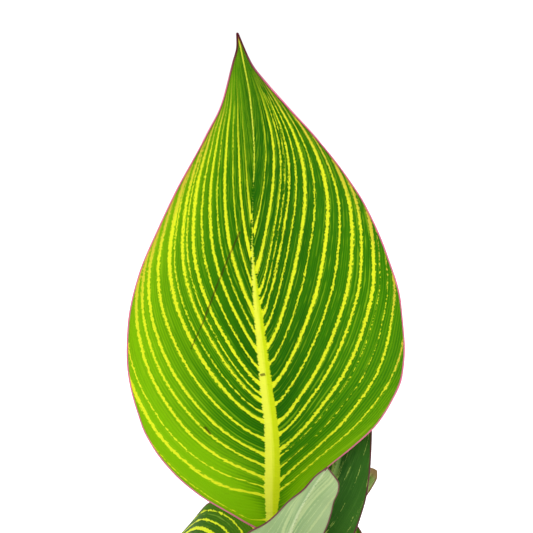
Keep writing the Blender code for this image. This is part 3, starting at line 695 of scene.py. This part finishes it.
# Each stripe: how many millimetres up the blade it leaves the midrib, how many up it meets the margin, half
# its width in millimetres, and how broken it is
LEFT_STRIPES = (
    (8.0, 75, 0.45, 0.2), (25.0, 115, 1.2, 0.5), (31.5, 140, 0.6, 0.2), (37.5, 188, 1.1, 0.1),
    (46.0, 205, 0.95, 0.2), (54.0, 221, 1.05, 0.2), (65.0, 241, 0.95, 0.1), (77.5, 262, 1.2, 0.1),
    (84.0, 268, 0.55, 0.3), (92.0, 282, 0.95, 0.2), (97.0, 290, 0.6, 0.6), (104.0, 300, 1.1, 0.1),
    (115.0, 312, 0.75, 0.5), (127.5, 322, 1.0, 0.2), (139.5, 330, 0.55, 0.3), (153.5, 340, 1.15, 0.1),
    (174.5, 345, 0.6, 0.3), (195.0, 348, 1.1, 0.2), (221.0, 350, 0.6, 0.3),
)
RIGHT_STRIPES = (
    (29.0, 140, 0.6, 0.2), (36.0, 185, 0.9, 0.4), (45.0, 200, 0.35, 0.6), (53.0, 215, 0.3, 0.6),
    (57.5, 228, 1.1, 0.1), (68.5, 250, 0.9, 0.1), (77.0, 266, 1.1, 0.1), (89.5, 285, 0.75, 0.2),
    (103.0, 300, 1.15, 0.1), (118.0, 315, 0.65, 0.5), (130.0, 325, 1.1, 0.1), (142.5, 332, 0.65, 0.3),
    (153.0, 338, 0.85, 1.0), (161.0, 340, 0.45, 0.9), (168.5, 343, 0.65, 0.3), (184.5, 346, 1.1, 0.1),
    (211.0, 349, 0.6, 0.3),
)


# Scratches on that leaf: from and to, each as millimetres across and up the blade, and half the width
SCRATCHES = (
    ((-8.4, 210.0), (-37.5, 150.0), 0.7), ((-37.5, 150.0), (-49.0, 129.5), 0.5),
    ((-46.0, 74.0), (-43.0, 70.0), 0.9), ((-2.4, 110.0), (-0.6, 110.4), 1.0),
)


@dataclass
class Look:
    """How one kind of leaf is coloured. Colours are sRGB hex."""

    deep: str
    middle: str
    bright: str
    stripe: str
    faint_stripe: str
    midrib: str
    midrib_painted_shade: str
    rim: str
    rim_inside: str
    left_stripes: tuple = ()
    right_stripes: tuple = ()
    pitch: float = 13.0
    stripe_widths: tuple = (0.2, 1.1)
    stripe_strength: float = 1.0
    stripe_breaks: float = 0.6
    tan: float = 0.0
    scratches: tuple = ()
    through: float = 0.4
    roughness: float = 0.42
    dry_from: float = 10000.0


LOOKS = {
    "bright": Look("#246A00", "#448C02", "#93CC06", "#FFFF2E", "#A6D21A", "#FFFF58", "#E2EC18",
                   "#FA86AC", "#6A1E2C", LEFT_STRIPES, RIGHT_STRIPES, tan=0.6, scratches=SCRATCHES,
                   through=0.45),
    "older": Look("#2A5204", "#3A6A08", "#5C8C14", "#E4EE50", "#8DB43A", "#D8E478", "#B4C850",
                  "#8A4A50", "#4A2026"),
    "left": Look("#2A5204", "#3A6A08", "#5C8C14", "#F0F630", "#8DB43A", "#D8E478", "#B4C850",
                 "#8A4A50", "#4A2026", pitch=8.5, stripe_widths=(0.7, 1.7), stripe_breaks=0.3),
    "shaded": Look("#26521C", "#34661F", "#4A7E2A", "#BED66A", "#5C8A38", "#8FB060", "#6E9448",
                   "#6A3A3E", "#3E1E22", pitch=21.0, stripe_widths=(0.0, 0.7), stripe_strength=0.6,
                   stripe_breaks=3.0, through=0.2),
    "dry_tip": Look("#3E7A14", "#6C9C2C", "#A4C860", "#EEF0B0", "#C8DA80", "#DCE4A0", "#B8CC70",
                    "#A06A50", "#6E4A30", pitch=7.0, dry_from=157.0),
    "under": Look("#8FB07C", "#A2BE84", "#B4CC94", "#CFDCA0", "#BCD0A0", "#DCE6B8", "#B8CC98",
                  "#7A4A50", "#5A3038", stripe_strength=0.6, through=0.25, roughness=0.55),
}


# %% Stripe edges
# How deep the breaks cut into a stripe, and the step between the random numbers of the two sides
BREAK_DEPTH = 2.4
SIDE_NUMBER = 57.0


def stripes_on_one_side(tree, read, breaks, side, stripes):
    """Millimetres to the edge of the nearest stripe of a table, less than nought inside it."""
    nearest = None
    to_margin = add_node(tree, MATH, {0: 1.0, 1: read["reach"]}, operation="SUBTRACT")
    for foot, end, half_width, broken in stripes:
        late, early, straight = vein_turns(side, foot / STRIPED_BLADE_MM)
        turned = add_node(tree, MATH, {0: read["reach"], 1: late}, operation="POWER")
        to_climb = add_node(tree, MATH, {0: 1.0, 1: turned}, operation="SUBTRACT")
        to_climb = add_node(tree, MATH, {0: to_climb, 1: early}, operation="POWER")
        height = add_node(tree, MATH, {
            0: to_margin, 1: straight * (foot - end), 2: end}, operation="MULTIPLY_ADD")
        height = add_node(tree, MATH, {
            0: to_climb, 1: (1 - straight) * (foot - end), 2: height}, operation="MULTIPLY_ADD")
        offset = add_node(tree, MATH, {0: read["along"], 1: height}, operation="SUBTRACT")
        away = add_node(tree, MATH, {0: offset}, operation="ABSOLUTE")
        inward = add_node(tree, MATH, {0: read["narrow"], 1: -half_width}, operation="MULTIPLY")
        edge = add_node(
            tree, MATH, {0: away, 1: read["slant"], 2: inward}, operation="MULTIPLY_ADD")
        worn = add_node(tree, MATH, {0: breaks, 1: BREAK_DEPTH * broken, 2: edge}, operation="MULTIPLY_ADD")
        nearest = worn if nearest is None else add_node(
            tree, MATH, {0: nearest, 1: worn}, operation="MINIMUM")
    return nearest


def even_stripes(tree, read, breaks, pitch, broken, widths):
    """The same for stripes at an even pitch in millimetres of midrib, each with a random width."""
    count = add_node(tree, MATH, {0: read["vein"], 1: pitch}, operation="DIVIDE")
    nearest = add_node(tree, MATH, {0: count}, operation="ROUND")
    offset = add_node(tree, MATH, {0: count, 1: nearest}, operation="SUBTRACT")
    away = add_node(tree, MATH, {0: offset}, operation="ABSOLUTE")
    away_mm = add_node(tree, MATH, {0: away, 1: pitch}, operation="MULTIPLY")
    number = add_node(tree, MATH, {0: read["side"], 1: SIDE_NUMBER, 2: nearest}, operation="MULTIPLY_ADD")
    chance = add_node(tree, "ShaderNodeTexWhiteNoise", {"W": number}, noise_dimensions="1D")
    width = add_node(tree, MAP_RANGE, {"Value": chance, "To Min": widths[0], "To Max": widths[1]})
    edge = add_node(tree, MATH, {0: away_mm, 1: read["spacing"]}, operation="MULTIPLY")
    edge = add_node(tree, MATH, {0: edge, 1: width}, operation="SUBTRACT")
    return add_node(tree, MATH, {0: breaks, 1: BREAK_DEPTH * broken, 2: edge}, operation="MULTIPLY_ADD")


def scratch_edge(tree, read, scratches):
    """Millimetres to the edge of the nearest scratch of a table, less than nought inside it."""
    place = add_node(tree, "ShaderNodeCombineXYZ", {0: read["across"], 1: read["along"]})
    nearest = None
    for start, end, half_width in scratches:
        run = Vector((end[0] - start[0], end[1] - start[1], 0.0))
        offset = add_node(tree, VECTOR_MATH, {0: place, 1: (*start, 0.0)}, operation="SUBTRACT")
        share = add_node(tree, VECTOR_MATH, {0: offset, 1: run / run.length_squared},
                         output="Value", operation="DOT_PRODUCT")
        share = add_node(tree, "ShaderNodeClamp", {"Value": share})
        foot = add_node(tree, VECTOR_MATH, {0: run, "Scale": share}, operation="SCALE")
        away = add_node(tree, VECTOR_MATH, {0: offset, 1: foot}, output="Value", operation="DISTANCE")
        edge = add_node(tree, MATH, {0: away, 1: half_width}, operation="SUBTRACT")
        nearest = edge if nearest is None else add_node(
            tree, MATH, {0: nearest, 1: edge}, operation="MINIMUM")
    return nearest


# %% What the paint reads on a leaf
MARKS = ("vein", "along", "across", "rib", "margin", "spacing", "reach", "slant")

# Each ramp: the mark it reads, the two values that the mark runs between, and what they become. The rise is a
# share of the big blade's length, the spacing is one where the veins are as far apart as on the midrib, and
# the distance along the blade is in millimetres
RAMPS = {
    "crowded": ("spacing", 0.0, 0.42, 0.2, 1.0),
    "apart": ("spacing", 0.06, 0.2, 0.0, 1.0),
    "swollen": ("along", 40.0, 190.0, 0.95, 1.25),
    "on_blade": ("along", 0.0, 6.0, 0.0, 1.0),
    "rib_worn": ("along", 150.0, 205.0, 0.0, 1.5),
    "line_start": ("along", 238.0, 246.0, 2.0, -0.5),
    "tan_high": ("rise", 0.3, 0.6, 0.0, 1.0),
    "maroon_high": ("rise", 0.55, 0.8, 0.15, 0.9),
    "rim_end": ("rise", 0.88, 0.96, 0.0, 1.0),
}

# Each noise: its steps to a millimetre across and along the veins, and its detail. The ragged one makes small
# steps 2 to 5 mm long, the breaking one slower swelling and gaps, and the streak colours the green
NOISES = {"ragged": (0.8, 0.55, 2.0), "breaking": (0.4, 0.07, 1.0), "streak": (0.16, 0.012, 4.0)}
SIDE_SHIFT = 40.0
FINE_VEIN_PITCH = 1.9


def read_leaf(tree):
    """Reads a leaf's marks, and works out the ramps and the noises that follow its veins."""
    read = {mark: add_node(tree, "ShaderNodeAttribute", output="Fac", attribute_name=mark) for mark in MARKS}
    read["side"] = add_node(tree, MATH, {0: read["across"]}, operation="SIGN")
    read["is_right"] = add_node(tree, MATH, {0: read["side"], 1: 0.0}, operation="GREATER_THAN")
    read["rise"] = add_node(tree, MATH, {0: read["along"], 1: STRIPED_BLADE_MM}, operation="DIVIDE")
    for name, (mark, start, end, first, last) in RAMPS.items():
        read[name] = add_node(tree, MAP_RANGE, {
            "Value": read[mark], "From Min": start, "From Max": end, "To Min": first, "To Max": last})
    read["narrow"] = add_node(tree, MATH, {0: read["crowded"], 1: read["swollen"]}, operation="MULTIPLY")
    shift = add_node(tree, MATH, {0: read["side"], 1: SIDE_SHIFT}, operation="MULTIPLY")
    place = add_node(tree, "ShaderNodeCombineXYZ", {0: read["vein"], 1: read["along"], 2: shift})
    for name, (across, along, detail) in NOISES.items():
        scaled = add_node(tree, VECTOR_MATH, {0: place, 1: (across, along, 1.0)}, operation="MULTIPLY")
        read[name] = add_node(tree, NOISE, {"Vector": scaled, "Scale": 1.0, "Detail": detail})
    phase = add_node(tree, MATH, {0: read["vein"], 1: 2 * math.pi / FINE_VEIN_PITCH}, operation="MULTIPLY")
    read["fine_vein"] = add_node(tree, MATH, {0: phase}, operation="SINE")
    return read


# %% Edges and masks of the paint
BREAK_LEVEL = 0.46
LEAST_BREAK = -0.05
FAINT_PITCH = 3.6
FAINT_BREAKS = 1.4
FAINT_WIDTHS = (-0.4, 0.4)
FLARE_FADE = 0.4
FLARE_WIDTH = 0.9
RAGGED_DEPTH = 2.6
RAGGED_MIDDLE = -1.1
RIB_OUTSET = 0.3

# Each mask: it has its strength, the third number, where its value is under the first one, and is nought over
# the second. The foot reads the rise, and the others read millimetres
MASKS = {
    "foot": (0.02, 0.26, 1.0),
    "tan": (1.0, 10.0, 1.0),
    "stripe": (-0.25, 0.2, 1.0),
    "faint": (-0.4, 0.5, 0.55),
    "midrib": (-0.25, 0.35, 1.0),
    "maroon": (1.0, 2.2, 1.0),
    "rim": (0.85, 1.25, 1.0),
    "scratch": (-0.3, 0.4, 0.75),
    "sheath": (-12.0, 0.0, 1.0),
}


def paint_edges(tree, read, look):
    """Millimetres to the edge of each part of the paint, less than nought inside it."""
    breaks = add_node(tree, MATH, {0: read["breaking"], 1: BREAK_LEVEL}, operation="SUBTRACT")
    breaks = add_node(tree, MATH, {0: breaks, 1: LEAST_BREAK}, operation="MAXIMUM")
    if look.left_stripes:
        left = stripes_on_one_side(tree, read, breaks, -1, look.left_stripes)
        right = stripes_on_one_side(tree, read, breaks, 1, look.right_stripes)
        edge = add_node(tree, "ShaderNodeMix", {0: read["is_right"], 2: left, 3: right})
    else:
        edge = even_stripes(tree, read, breaks, look.pitch, look.stripe_breaks, look.stripe_widths)
    flare = add_node(tree, MATH, {0: read["rib"], 1: -FLARE_FADE}, operation="MULTIPLY")
    flare = add_node(tree, MATH, {0: flare}, operation="EXPONENT")
    edge = add_node(tree, MATH, {0: flare, 1: -FLARE_WIDTH, 2: edge}, operation="MULTIPLY_ADD")
    ragged = add_node(tree, MATH, {
        0: read["ragged"], 1: RAGGED_DEPTH, 2: RAGGED_MIDDLE}, operation="MULTIPLY_ADD")
    ragged = add_node(tree, MATH, {0: ragged, 1: read["narrow"]}, operation="MULTIPLY")
    edge = add_node(tree, MATH, {0: ragged, 1: edge}, operation="ADD")
    faint = even_stripes(tree, read, breaks, FAINT_PITCH, FAINT_BREAKS, FAINT_WIDTHS)

    # The midrib's band wears away high up, and only a thin line goes on to the tip
    half = add_node(tree, MATH, {0: read["across"]}, operation="ABSOLUTE")
    band = add_node(tree, MATH, {0: ragged, 1: 1.3, 2: read["rib"]}, operation="MULTIPLY_ADD")
    band = add_node(tree, MATH, {0: band, 1: RIB_OUTSET}, operation="SUBTRACT")
    band = add_node(tree, MATH, {0: band, 1: read["rib_worn"]}, operation="ADD")
    line = add_node(tree, MATH, {0: ragged, 1: 0.6, 2: half}, operation="MULTIPLY_ADD")
    line = add_node(tree, MATH, {0: line, 1: read["line_start"]}, operation="ADD")
    midrib = add_node(tree, MATH, {0: band, 1: line}, operation="MINIMUM")
    rim = add_node(tree, MATH, {0: read["ragged"], 1: 0.4, 2: read["margin"]}, operation="MULTIPLY_ADD")
    edges = {"stripe": edge, "faint": faint, "midrib": midrib, "maroon": rim, "rim": rim}
    if look.scratches:
        scratch = scratch_edge(tree, read, look.scratches)
        edges["scratch"] = add_node(tree, MATH, {0: ragged, 1: 0.8, 2: scratch}, operation="MULTIPLY_ADD")
    return edges


def paint_masks(tree, read, look):
    """How much of each part of the paint lies at a point, from nought to one."""
    values = {"foot": read["rise"], "tan": read["margin"], "sheath": read["along"]}
    values.update(paint_edges(tree, read, look))
    masks = {}
    for name, value in values.items():
        low, high, strength = MASKS[name]
        masks[name] = add_node(tree, MAP_RANGE, {
            "Value": value, "From Min": low, "From Max": high, "To Min": strength, "To Max": 0.0},
            interpolation_type="SMOOTHSTEP")

    # Stripes begin on the blade and fade where the veins close up. Tan is high up, and along the right margin
    stripes = add_node(tree, MATH, {0: read["on_blade"], 1: look.stripe_strength}, operation="MULTIPLY")
    tanned = add_node(tree, MATH, {0: read["tan_high"], 1: read["is_right"]}, operation="MAXIMUM")
    for name, share in (("stripe", read["apart"]), ("stripe", stripes), ("faint", stripes), ("tan", tanned),
                        ("tan", look.tan), ("maroon", read["maroon_high"])):
        masks[name] = add_node(tree, MATH, {0: masks[name], 1: share}, operation="MULTIPLY")
    return masks


# %% Leaf materials
DRIED = "#B8946A"
TANNED = "#D8A84E"
SCRATCHED = "#4A3A0C"
DEEP_TO_MIDDLE = (0.05, 0.4)
MIDDLE_TO_BRIGHT = (0.4, 0.95)
DRY_RAGGED = 14.0
DRY_FADE = 4.0


def lay_coats(tree, colour, coats):
    """Lays coats over a ground colour, each where its own mask is one."""
    for mask, coat in coats:
        colour = add_node(tree, "ShaderNodeMix", {0: mask, 6: colour, 7: coat}, output=2, data_type="RGBA")
    return colour


def leaf_green(tree, read, foot, look):
    """The green, deep by the midrib and bright towards the margin and the foot, streaked along the veins. Its
    left half and foot are painted lighter than the right, as painted light from the sun behind the upper left.
    """
    # Painted light: the left half, and the foot on that side, are made lighter than the right, standing in for
    # the sun shining through from the upper left
    painted_light_left = add_node(tree, MATH, {0: read["side"], 1: -0.22, 2: 0.93}, operation="MULTIPLY_ADD")
    slope = add_node(tree, MATH, {0: read["rise"], 1: -0.68, 2: painted_light_left}, operation="MULTIPLY_ADD")
    light = add_node(tree, MATH, {0: read["reach"], 1: slope}, operation="MULTIPLY")
    foot = add_node(tree, MATH, {0: foot, 1: painted_light_left}, operation="MULTIPLY")
    for value, share in ((foot, 0.5), (read["streak"], 0.5), (read["fine_vein"], 0.09)):
        light = add_node(tree, MATH, {0: value, 1: share, 2: light}, operation="MULTIPLY_ADD")
    light = add_node(tree, MATH, {0: light, 1: 0.14}, operation="SUBTRACT")
    greens = []
    for (low, high), green in ((DEEP_TO_MIDDLE, look.middle), (MIDDLE_TO_BRIGHT, look.bright)):
        mask = add_node(tree, MAP_RANGE, {"Value": light, "From Min": low, "From Max": high})
        greens.append((mask, linear(green)))
    return lay_coats(tree, linear(look.deep), greens)


def midrib_colour(tree, read, look):
    """The midrib is pale, and its right half is painted darker as the shade in its channel, with an edge that
    is streaked along the rib.
    """
    place = add_node(tree, "ShaderNodeCombineXYZ", {0: read["across"], 1: read["along"]})
    place = add_node(tree, VECTOR_MATH, {0: place, 1: (0.9, 0.03, 1.0)}, operation="MULTIPLY")
    streak = add_node(tree, NOISE, {"Vector": place, "Scale": 1.0, "Detail": 3.0})
    half = add_node(tree, MATH, {0: streak, 1: 4.0, 2: read["across"]}, operation="MULTIPLY_ADD")
    # Painted shade: right of its middle the midrib takes a darker colour, standing in for the shadow in its
    # channel
    shade = add_node(tree, MAP_RANGE, {"Value": half, "From Min": 1.2, "From Max": 3.4})
    return lay_coats(tree, linear(look.midrib), [(shade, linear(look.midrib_painted_shade))])


def leaf_material(name, look):
    material, tree = new_tree(name)
    read = read_leaf(tree)
    masks = paint_masks(tree, read, look)
    stripe_colour = lay_coats(tree, linear(look.stripe), [(masks["tan"], linear(TANNED))])
    rim_colour = lay_coats(tree, linear(look.rim), [(read["rim_end"], linear(look.rim_inside))])
    coats = [
        (masks["faint"], linear(look.faint_stripe)), (masks["stripe"], stripe_colour),
        (masks["midrib"], midrib_colour(tree, read, look)), (masks["maroon"], linear(look.rim_inside)),
        (masks["rim"], rim_colour),
    ]
    if look.scratches:
        coats.append((masks["scratch"], linear(SCRATCHED)))

    # The dried end of an old leaf is brown paper, and a sheath and its stalk are paler than the blade
    dried = add_node(tree, MATH, {
        0: read["ragged"], 1: DRY_RAGGED, 2: read["along"]}, operation="MULTIPLY_ADD")
    dried = add_node(tree, MAP_RANGE, {
        "Value": dried, "From Min": look.dry_from, "From Max": look.dry_from + DRY_FADE})
    sheath_colour = lay_coats(tree, linear(look.middle), [(read["streak"], linear(look.bright))])
    coats += [(dried, linear(DRIED)), (masks["sheath"], sheath_colour)]
    colour = lay_coats(tree, leaf_green(tree, read, masks["foot"], look), coats)

    relief = add_node(tree, MATH, {
        0: masks["stripe"], 1: 0.5, 2: read["fine_vein"]}, operation="MULTIPLY_ADD")
    bump = add_node(tree, "ShaderNodeBump", {"Height": relief, "Strength": 0.18, "Distance": 0.4 * MM})
    skin = add_node(tree, "ShaderNodeBsdfPrincipled", {
        "Base Color": colour, "Roughness": look.roughness, "IOR": 1.38, "Specular IOR Level": 0.08,
        "Normal": bump})
    glow = add_node(tree, "ShaderNodeBsdfTranslucent", {"Color": colour, "Normal": bump})
    both = add_node(tree, "ShaderNodeMixShader", {0: look.through, 1: skin, 2: glow})
    add_node(tree, "ShaderNodeOutputMaterial", {"Surface": both})
    return material


underside = leaf_material("glaucous_leaf_underside", LOOKS["under"])
uppers = {name: leaf_material(f"waxy_{name}_leaf", look) for name, look in LOOKS.items() if name != "under"}
for leaf in LEAVES:
    piece = make_leaf(leaf, uppers[leaf.look], underside)
    print(piece.name, len(piece.data.polygons), "faces")

# %% [markdown]
# The pot
#
# A thrown terracotta pot: fired clay, matt and a little chalky, with faint turning rings and pale bloom where
# water has dried through the wall. The solid already has the right shape, so it keeps it and gets the finish.


# %% Terracotta
def terracotta():
    material, tree = new_tree("unglazed_terracotta")
    place = add_node(tree, "ShaderNodeTexCoord", output="Object")
    clouds = add_node(tree, NOISE, {"Vector": place, "Scale": 14.0, "Detail": 6.0, "Roughness": 0.6})
    bloom = add_node(tree, MAP_RANGE, {"Value": clouds, "From Min": 0.5, "From Max": 0.75})
    grit = add_node(tree, NOISE, {"Vector": place, "Scale": 900.0, "Detail": 2.0})
    coats = [(grit, linear("#BE6E4C")), (bloom, linear("#CFA086"))]
    colour = lay_coats(tree, linear("#A5563A"), coats)
    rings = add_node(tree, "ShaderNodeTexWave", {"Vector": place, "Scale": 90.0, "Distortion": 1.0},
                     bands_direction="Z")
    height = add_node(tree, "ShaderNodeMix", {0: 0.35, 2: grit, 3: rings})
    bump = add_node(tree, "ShaderNodeBump", {"Height": height, "Strength": 0.25, "Distance": 0.0006})
    clay = add_node(tree, "ShaderNodeBsdfPrincipled", {
        "Base Color": colour, "Roughness": 0.9, "IOR": 1.5, "Specular IOR Level": 0.2, "Normal": bump})
    add_node(tree, "ShaderNodeOutputMaterial", {"Surface": clay})
    return material


def dress_node(name, material):
    """Gives a solid that keeps its shape a new finish."""
    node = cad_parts[name]
    node.data.materials.clear()
    node.data.materials.append(material)
    return node


dress_node("pot", terracotta())


# %% [markdown]
# The soil and the stems
#
# Potting soil is dark crumbs of peat and bark, with white grains of perlite. The solid gives its level, and
# Geometry Nodes scatter the crumbs on its top face, because thousands of like lumps follow a rule there.


# %% Soil and stem finishes
def mottled(name, dark, light, noise, skin, relief=None, stretch=(1.0, 1.0, 1.0)):
    """A finish of two colours that a noise mixes, with a bump from the same noise where it has a relief."""
    material, tree = new_tree(name)
    place = add_node(tree, "ShaderNodeTexCoord", output="Object")
    place = add_node(tree, "ShaderNodeMapping", {"Vector": place, "Scale": stretch})
    grain = add_node(tree, NOISE, {"Vector": place, **noise})
    colour = lay_coats(tree, linear(dark), [(grain, linear(light))])
    if relief:
        skin = {**skin, "Normal": add_node(tree, "ShaderNodeBump", {"Height": grain, **relief})}
    surface = add_node(tree, "ShaderNodeBsdfPrincipled", {"Base Color": colour, **skin})
    add_node(tree, "ShaderNodeOutputMaterial", {"Surface": surface})
    return material


# Damp peat is dark, matt and lumpy, perlite is chalky and white, and a waxy stem is streaked and shines dully
soil_finish = mottled(
    "damp_potting_soil", "#1E140D", "#5A4230", {"Scale": 350.0, "Detail": 6.0, "Roughness": 0.7},
    {"Roughness": 0.95, "Specular IOR Level": 0.15}, relief={"Strength": 0.8, "Distance": 1.5 * MM})
perlite_finish = mottled(
    "expanded_perlite", "#C9C2B4", "#F2EEE6", {"Scale": 900.0, "Detail": 3.0}, {"Roughness": 0.9})
stem_finish = mottled(
    "waxy_stem_skin", "#4C5E1C", "#86A040", {"Scale": 260.0, "Detail": 4.0}, {"Roughness": 0.5, "IOR": 1.4},
    stretch=(1.0, 1.0, 0.15))
dress_node("soil", soil_finish)
dress_node("rhizome_and_stems", stem_finish)

# %% Crumbs on the soil
SOIL_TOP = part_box("soil")[1][2]


def crumb_tree(name, material):
    """Scatters rough lumps on the upward faces of its mesh, and gives back the lumps alone."""
    tree = bpy.data.node_groups.new(name, "GeometryNodeTree")
    tree.interface.new_socket("Geometry", in_out="INPUT", socket_type="NodeSocketGeometry")
    for label, value in (("Per square metre", 1000.0), ("Smallest radius", 0.001), ("Largest radius", 0.003),
                         ("Flatness", 0.7)):
        socket = tree.interface.new_socket(label, in_out="INPUT", socket_type="NodeSocketFloat")
        socket.default_value = value
    seed = tree.interface.new_socket("Seed", in_out="INPUT", socket_type="NodeSocketInt")
    seed.default_value = 1
    tree.interface.new_socket("Geometry", in_out="OUTPUT", socket_type="NodeSocketGeometry")
    given = tree.nodes.new("NodeGroupInput").outputs
    normal = add_node(tree, "GeometryNodeInputNormal")
    upright = add_node(tree, "ShaderNodeSeparateXYZ", {0: normal}, output=2)
    place = add_node(tree, "GeometryNodeInputPosition")
    height = add_node(tree, "ShaderNodeSeparateXYZ", {0: place}, output=2)
    faces_up = add_node(tree, "FunctionNodeCompare", {0: upright, 1: 0.7}, operation="GREATER_THAN")
    is_high = add_node(tree, "FunctionNodeCompare", {0: height, 1: SOIL_TOP - 0.02}, operation="GREATER_THAN")
    top = add_node(tree, "FunctionNodeBooleanMath", {0: faces_up, 1: is_high}, operation="AND")
    points = add_node(tree, "GeometryNodeDistributePointsOnFaces", {
        "Mesh": given["Geometry"], "Selection": top, "Density": given["Per square metre"],
        "Seed": given["Seed"]})
    lump = add_node(tree, "GeometryNodeMeshIcoSphere", {"Radius": 1.0, "Subdivisions": 2})
    lump_place = add_node(tree, "GeometryNodeInputPosition")
    rough = add_node(tree, NOISE, {"Vector": lump_place, "Scale": 1.3, "Detail": 1.0}, output="Color")
    rough = add_node(tree, VECTOR_MATH, {0: rough, 1: (0.5, 0.5, 0.5)}, operation="SUBTRACT")
    rough = add_node(tree, VECTOR_MATH, {0: rough, 1: (1.4, 1.4, 1.4)}, operation="MULTIPLY")
    lump = add_node(tree, "GeometryNodeSetPosition", {"Geometry": lump, "Offset": rough})
    size = add_node(tree, "FunctionNodeRandomValue", {
        "Min": (0.6, 0.6, 0.6), "Max": (1.0, 1.0, 1.0), "Seed": 3}, data_type="FLOAT_VECTOR")
    radius = add_node(tree, "FunctionNodeRandomValue", {
        2: given["Smallest radius"], 3: given["Largest radius"], "Seed": 4}, output=1)
    scale = add_node(tree, VECTOR_MATH, {0: size, "Scale": radius}, operation="SCALE")
    flat = add_node(tree, "ShaderNodeCombineXYZ", {0: 1.0, 1: 1.0, 2: given["Flatness"]})
    scale = add_node(tree, VECTOR_MATH, {0: scale, 1: flat}, operation="MULTIPLY")
    turn = add_node(tree, "FunctionNodeRandomValue", {
        "Min": (-0.6, -0.6, 0.0), "Max": (0.6, 0.6, 6.28), "Seed": 5}, data_type="FLOAT_VECTOR")
    lumps = add_node(tree, "GeometryNodeInstanceOnPoints", {
        "Points": points, "Instance": lump, "Rotation": turn, "Scale": scale})
    real = add_node(tree, "GeometryNodeRealizeInstances", {"Geometry": lumps})
    painted = add_node(tree, "GeometryNodeSetMaterial", {"Geometry": real, "Material": material})
    add_node(tree, "NodeGroupOutput", {"Geometry": painted})
    return tree


def scatter(name, material, settings):
    """Runs the crumb tree on a copy of the soil's mesh and keeps the result as a plain mesh."""
    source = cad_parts["soil"].data.copy()
    piece = bpy.data.objects.new(name, source)
    bpy.context.scene.collection.objects.link(piece)
    modifier = piece.modifiers.new("scatter", "NODES")
    modifier.node_group = crumb_tree(name + "_tree", material)
    for item in modifier.node_group.interface.items_tree:
        if item.in_out == "INPUT" and item.name in settings:
            modifier[item.identifier] = settings[item.name]
    graph = bpy.context.evaluated_depsgraph_get()
    mesh = bpy.data.meshes.new_from_object(piece.evaluated_get(graph), depsgraph=graph)
    piece.modifiers.clear()
    piece.data = mesh
    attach(piece, "root")
    print(name, len(mesh.polygons), "faces")
    return piece


for name, finish, per_square_metre, smallest, largest, flatness, seed in (
        ("soil_crumbs", soil_finish, 60000.0, 0.0008, 0.0026, 0.7, 2),
        ("bark_chips", soil_finish, 3500.0, 0.003, 0.006, 0.3, 7),
        ("perlite_grains", perlite_finish, 5000.0, 0.0008, 0.0019, 0.9, 11)):
    scatter(name, finish, {
        "Per square metre": per_square_metre, "Smallest radius": smallest, "Largest radius": largest,
        "Flatness": flatness, "Seed": seed})
